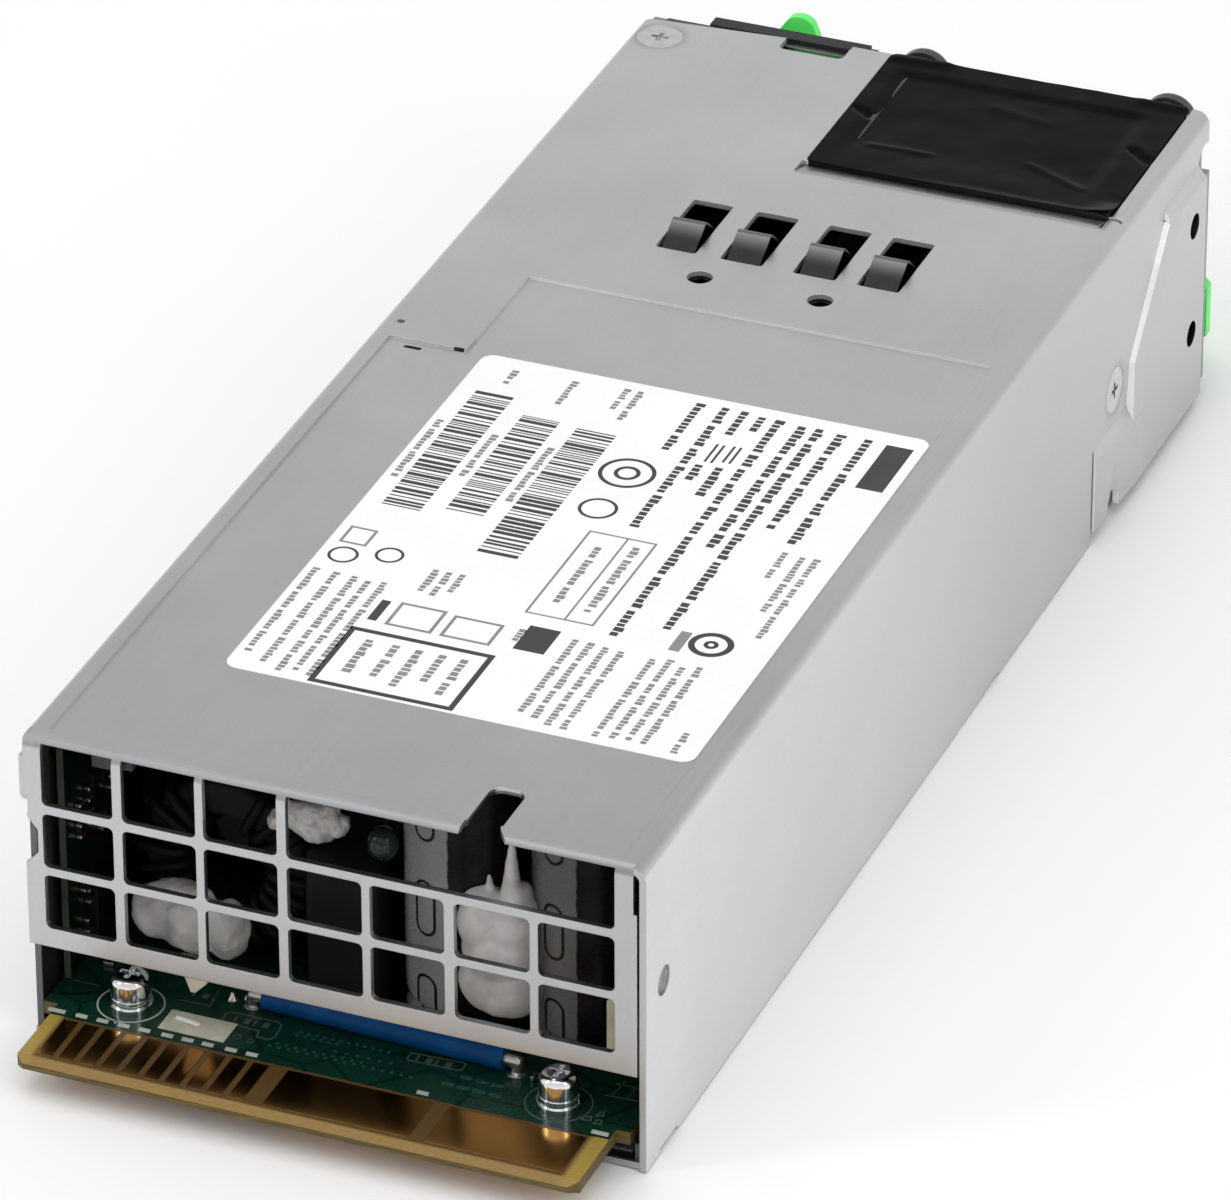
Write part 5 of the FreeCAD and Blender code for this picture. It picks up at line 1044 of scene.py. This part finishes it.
for side in (-1, 1):
    angs += [math.radians(side * 90 + (k - 2.5) * 22.0) for k in range(6)]
winding("filter_choke_turns", (22.0, 131.0, 10.7), "z", angs, 4.2, 10.1, 5.2, 0.65, "copper", "copper_wire", ("filter_choke_winding",))


# ----------------------------------------------------------------------------
# Adhesive: poured lumps with drawn-up strands
# ----------------------------------------------------------------------------
def blob(name, balls, strands, rep, seed, vox=0.24, amp=0.10, freq=0.35, iters=14):
    h = Heap()
    for (c, r) in balls:
        vs, fs = [], []
        bm = bmesh.new()
        bmesh.ops.create_icosphere(bm, subdivisions=3, radius=1.0)
        bm.verts.ensure_lookup_table()
        for v in bm.verts:
            vs.append((c[0] + v.co.x * r[0], c[1] + v.co.y * r[1], c[2] + v.co.z * r[2]))
        for f in bm.faces:
            fs.append(tuple(v.index for v in f.verts))
        bm.free()
        h.shell(vs, fs)
    for (pts, rr) in strands:
        h.tube(pts, rr, 10)
    me = bpy.data.meshes.new(name + "_src")
    me.from_pydata([mt(v) for v in h.v], [], h.f)
    ob = bpy.data.objects.new(name + "_src", me)
    bpy.context.scene.collection.objects.link(ob)
    md = ob.modifiers.new("r", "REMESH")
    md.mode = "VOXEL"
    md.voxel_size = vox / 1000.0
    sm = ob.modifiers.new("s", "SMOOTH")
    sm.factor = 0.5
    sm.iterations = iters
    dg = bpy.context.evaluated_depsgraph_get()
    dg.update()
    ev = ob.evaluated_get(dg).to_mesh()
    co = [v.co.copy() for v in ev.vertices]
    no = [v.normal.copy() for v in ev.vertices]
    fs = [tuple(p.vertices) for p in ev.polygons]
    ob.evaluated_get(dg).to_mesh_clear()
    bpy.data.objects.remove(ob)
    vs = []
    for c, n in zip(co, no):
        q = c * 1000.0
        d = noise.noise(q * freq + Vector((seed, 0, 0))) * amp + noise.noise(q * freq * 2.7 + Vector((0, seed, 0))) * amp * 0.35
        p = q + n * d
        vs.append((p.x, p.y + HALF, p.z))
    return add(name, vs, fs, "silicone", "silicone", rep=rep, smooth=80)


blob("adhesive_between_cans",
     [((14.0, 10.9, 20.6), (3.6, 3.6, 4.0)), ((17.2, 10.9, 20.8), (3.0, 3.4, 4.2)), ((15.6, 10.7, 17.4), (4.6, 3.7, 4.2)),
      ((14.2, 10.9, 13.4), (3.6, 3.6, 4.2)), ((17.0, 10.9, 13.0), (3.4, 3.6, 4.0)), ((15.8, 10.8, 11.8), (3.4, 3.2, 2.9)),
      ((13.1, 11.0, 23.4), (1.9, 2.8, 1.6)), ((17.6, 11.0, 24.0), (1.5, 2.4, 2.0))],
     [([(16.8, 10.8, 23.0), (16.9, 10.5, 26.5), (17.0, 10.3, 29.2), (17.1, 10.2, 32.2)], [1.7, 1.0, 0.75, 0.3]),
      ([(14.2, 11.2, 23.6), (14.2, 10.9, 25.2), (14.1, 10.9, 26.2)], [0.8, 0.45, 0.3])],
     ("adhesive",), 3.0)
blob("adhesive_on_choke",
     [((-26.0, 11.9, 11.6), (3.3, 2.7, 3.4)), ((-21.6, 11.7, 11.4), (3.5, 3.0, 3.9)), ((-17.9, 11.9, 11.0), (2.7, 2.8, 3.6)),
      ((-22.0, 12.2, 9.0), (4.0, 2.2, 1.8)), ((-23.0, 12.3, 14.4), (3.5, 1.8, 1.3))], [], (), 11.0, amp=0.34, freq=0.5, iters=8)
blob("adhesive_on_inductor",
     [((-11.6, 12.6, 26.6), (1.3, 1.3, 1.2)), ((-9.6, 12.8, 27.5), (1.5, 1.5, 1.9)), ((-7.9, 12.9, 28.4), (1.4, 1.4, 1.3)),
      ((-5.5, 12.8, 27.7), (1.4, 1.6, 2.1)), ((-7.4, 13.2, 26.0), (2.4, 1.8, 1.5)), ((-4.4, 13.0, 27.0), (1.0, 1.2, 1.4))],
     [([(-9.9, 12.6, 28.2), (-10.3, 12.5, 29.5)], [0.6, 0.3])], (), 19.0, vox=0.2, amp=0.35, freq=0.9)
# the pale smear down the left can
blob("adhesive_smear",
     [((12.9, 10.5, 21.3), (0.75, 0.55, 0.9)), ((13.2, 10.7, 18.6), (0.8, 0.6, 2.2)), ((13.4, 10.6, 15.6), (0.9, 0.7, 2.4)),
      ((12.9, 10.3, 13.2), (0.8, 0.5, 1.2))], [], (), 27.0, vox=0.16, amp=0.15, freq=1.1)

# dipped body of the bead and its leads
bd = Heap()
prof = []
for k in range(25):
    t = math.pi * k / 24
    prof.append((1.78 * math.sin(t), 26.7 - 2.1 * math.cos(t)))
prof[0] = (0, prof[0][1])
prof[-1] = (0, prof[-1][1])
bd.lathe(prof, (1.1, 12.0, 0), seg=40)
bd.make("thermistor_body", "bead", "green_epoxy", rep=("thermistor_bead",), smooth=60)
ld = Heap()
for s_ in (-0.9, 0.9):
    ld.tube([(1.2 + s_ * 0.6, 13.6, 27.2), (1.2 + s_, 15.6, 27.4), (1.2 + s_ * 1.2, 18.5, 26.2), (1.2 + s_ * 1.3, 22.6, 22.0), (1.2 + s_ * 1.3, 24.0, 14.0),
             (1.2 + s_ * 1.3, 24.2, 4.7)], 0.3, 8)
ld.make("bead_leads", "lead", "black_lead")

# ----------------------------------------------------------------------------
# Fan films: a thin sheet that dips over the fan and is a little wrinkled
# ----------------------------------------------------------------------------
def ridge(x, y, a, b, w):
    """Height profile of a crease from a to b, w wide."""
    ax, ay, bx, by = a[0], a[1], b[0], b[1]
    dx, dy = bx - ax, by - ay
    t = max(0.0, min(1.0, ((x - ax) * dx + (y - ay) * dy) / (dx * dx + dy * dy)))
    d = math.hypot(x - ax - t * dx, y - ay - t * dy)
    return math.exp(-(d / w) ** 2)


def film_sheet(name, x0, y0, x1, y1, z, thick, radius, top, rep):
    nx, ny = 96, 78
    V_, F_ = [], []

    def at(i, j):
        x = x0 + (x1 - x0) * i / nx
        y = y0 + (y1 - y0) * j / ny
        cxr = min(max(x, x0 + radius), x1 - radius)
        cyr = min(max(y, y0 + radius), y1 - radius)
        d = math.hypot(x - cxr, y - cyr)
        if d > radius:
            x = cxr + (x - cxr) * radius / d
            y = cyr + (y - cyr) * radius / d
        q = Vector((x * 0.11, y * 0.11, 3.0))
        h = noise.noise(q) * 0.10 + noise.noise(q * 2.6) * 0.05
        if top:
            def s(v, a, b):
                t = max(0.0, min(1.0, (v - a) / (b - a)))
                return t * t * (3 - 2 * t)
            inside = s(x, -2.8, -0.4) * (1 - s(x, 28.6, 31.2)) * s(y, 155.8, 164.0) * (1 - s(y, 179.6, 181.6))
            h -= 0.26 * inside
            h += 0.14 * ridge(x, y, (1.2, 161.8), (8.9, 162.1), 0.5)
            h += 0.14 * ridge(x, y, (21.0, 164.2), (28.7, 160.4), 0.6)
            h += 0.08 * ridge(x, y, (12.0, 176.5), (19.0, 175.0), 0.9)
            h -= 0.5 * ridge(x, y, (-3.4, 170.1), (-1.4, 168.7), 0.45)
            h -= 0.5 * ridge(x, y, (31.3, 172.0), (34.0, 169.9), 0.45)
            h += 0.55 * s(x, 30.0, 34.4) * (1 - s(y, 155.4, 159.0))
            h += 0.18 * (1 - s(y, 154.9, 156.2)) * s(x, 3.0, 20.0)
            # the film stands up a little in front of each screw head
            h += 0.25 * ridge(x, y, (-3.6, 183.8), (2.6, 184.3), 0.9) + 0.25 * ridge(x, y, (28.4, 184.3), (33.6, 184.3), 0.9)
        return x, y, z + h
    for lay in (0, 1):
        for j in range(ny + 1):
            for i in range(nx + 1):
                x, y, zz = at(i, j)
                V_.append((x, y, zz - (0.0 if lay == 0 else thick)))
    n1 = (nx + 1) * (ny + 1)
    for j in range(ny):
        for i in range(nx):
            a = j * (nx + 1) + i
            b, c, d = a + 1, a + nx + 2, a + nx + 1
            F_.append((a, b, c, d))
            F_.append((n1 + d, n1 + c, n1 + b, n1 + a))
    rim = [i for i in range(nx + 1)] + [(j * (nx + 1) + nx) for j in range(1, ny + 1)] + \
          [ny * (nx + 1) + i for i in range(nx - 1, -1, -1)] + [j * (nx + 1) for j in range(ny - 1, 0, -1)]
    for k in range(len(rim)):
        a, b = rim[k], rim[(k + 1) % len(rim)]
        F_.append((b, a, n1 + a, n1 + b))
    return add(name, V_, F_, "film", "black_film", rep=rep, smooth=50)


film_sheet("fan_film_top", -4.45, 154.98, 34.45, 184.75, 38.84, 0.14, 1.2, True, ("fan_films",))
film_sheet("fan_film_bottom", -4.4, 155.4, 34.4, 183.8, 0.30, 0.12, 0.9, False, ())

# ----------------------------------------------------------------------------
# Fan hub disc and blade root fillets' ring, lever ribs
# ----------------------------------------------------------------------------
hb = Heap()
hb.lathe([(0, 183.55), (8.6, 183.55), (8.6, 183.72), (8.3, 183.8), (1.6, 183.8), (1.3, 183.72), (0, 183.72)], (15.0, 0, 19.5), axis="y", seg=56)
hb.make("fan_hub_disc", "alu", "aluminium")
rb = Heap()
for k in range(5):
    z = 33.5 + 0.7 * k
    rb.cbox(-20.9, 191.2, z, -17.0, 191.55, z + 0.3, 0.08)
rb.make("lever_ribs", "greenp", "green_plastic", body="release_lever")

# ----------------------------------------------------------------------------
# Camera, floor and light
# ----------------------------------------------------------------------------
az, el, roll = math.radians(22.045), math.radians(30.916), math.radians(-0.125)
B = Vector((math.sin(az) * math.cos(el), -math.cos(az) * math.cos(el), math.sin(el)))
r0 = Vector((math.cos(az), math.sin(az), 0.0))
u0 = B.cross(r0)
Rv = r0 * math.cos(roll) + u0 * math.sin(roll)
Uv = u0 * math.cos(roll) - r0 * math.sin(roll)
cam_d = bpy.data.cameras.new("camera")
cam_d.sensor_width = 36.0
cam_d.lens = 270.74
cam_d.clip_start, cam_d.clip_end = 0.05, 50.0
cam = bpy.data.objects.new("camera", cam_d)
bpy.context.scene.collection.objects.link(cam)
M4 = Matrix(((Rv.x, Uv.x, B.x, 0.34430), (Rv.y, Uv.y, B.y, -0.86033), (Rv.z, Uv.z, B.z, 0.56759), (0, 0, 0, 1)))
cam.matrix_world = M4
bpy.context.scene.camera = cam

fme = bpy.data.meshes.new("floor")
fme.from_pydata([(-6, -6, -0.0002), (6, -6, -0.0002), (6, 6, -0.0002), (-6, 6, -0.0002)], [], [(0, 1, 2, 3)])
fm = Mat("studio_floor")
fn = fm.noise(0.01, 2.0)
fme.materials.append(fm.done(fm.mix(fm.rng(fn, 0.3, 0.7), (0.965, 0.965, 0.965), (0.98, 0.98, 0.98)), 0.7))
floor = bpy.data.objects.new("floor", fme)
bpy.context.scene.collection.objects.link(floor)


def area(name, at, to, sx, sy, radiance, color=(1, 1, 1)):
    d = bpy.data.lights.new(name, "AREA")
    d.shape = "RECTANGLE"
    d.size, d.size_y = sx, sy
    d.energy = radiance * math.pi * sx * sy
    d.color = color
    o = bpy.data.objects.new(name, d)
    bpy.context.scene.collection.objects.link(o)
    o.location = at
    o.rotation_mode = "QUATERNION"
    o.rotation_quaternion = (Vector(to) - Vector(at)).to_track_quat("-Z", "Y")
    return o


area("softbox_top", (0.05, -0.15, 1.15), (0, 0, 0), 1.1, 1.1, 1.1)
area("strip_left", (-0.85, -0.75, 0.75), (0, 0, 0.02), 0.16, 0.6, 7.0, (0.97, 0.985, 1.0))
area("strip_right", (0.95, -0.55, 0.8), (0, 0, 0.02), 0.16, 0.6, 6.0, (1.0, 0.99, 0.97))

w = bpy.data.worlds.new("studio")
bpy.context.scene.world = w
w.use_nodes = True
wt = w.node_tree
wt.nodes.clear()
wo = wt.nodes.new("ShaderNodeOutputWorld")
wb = wt.nodes.new("ShaderNodeBackground")
wt.links.new(wb.outputs[0], wo.inputs[0])
wc = wt.nodes.new("ShaderNodeTexCoord")
ws = wt.nodes.new("ShaderNodeSeparateXYZ")
wt.links.new(wc.outputs["Generated"], ws.inputs[0])
wr = wt.nodes.new("ShaderNodeValToRGB")
wt.links.new(ws.outputs[2], wr.inputs[0])
e = wr.color_ramp.elements
e[0].position, e[0].color = 0.0, (0.82, 0.82, 0.82, 1)
e[1].position, e[1].color = 1.0, (0.66, 0.66, 0.67, 1)
wt.links.new(wr.outputs[0], wb.inputs[0])
wb.inputs[1].default_value = 1.0
bpy.context.scene.view_settings.view_transform = "Standard"
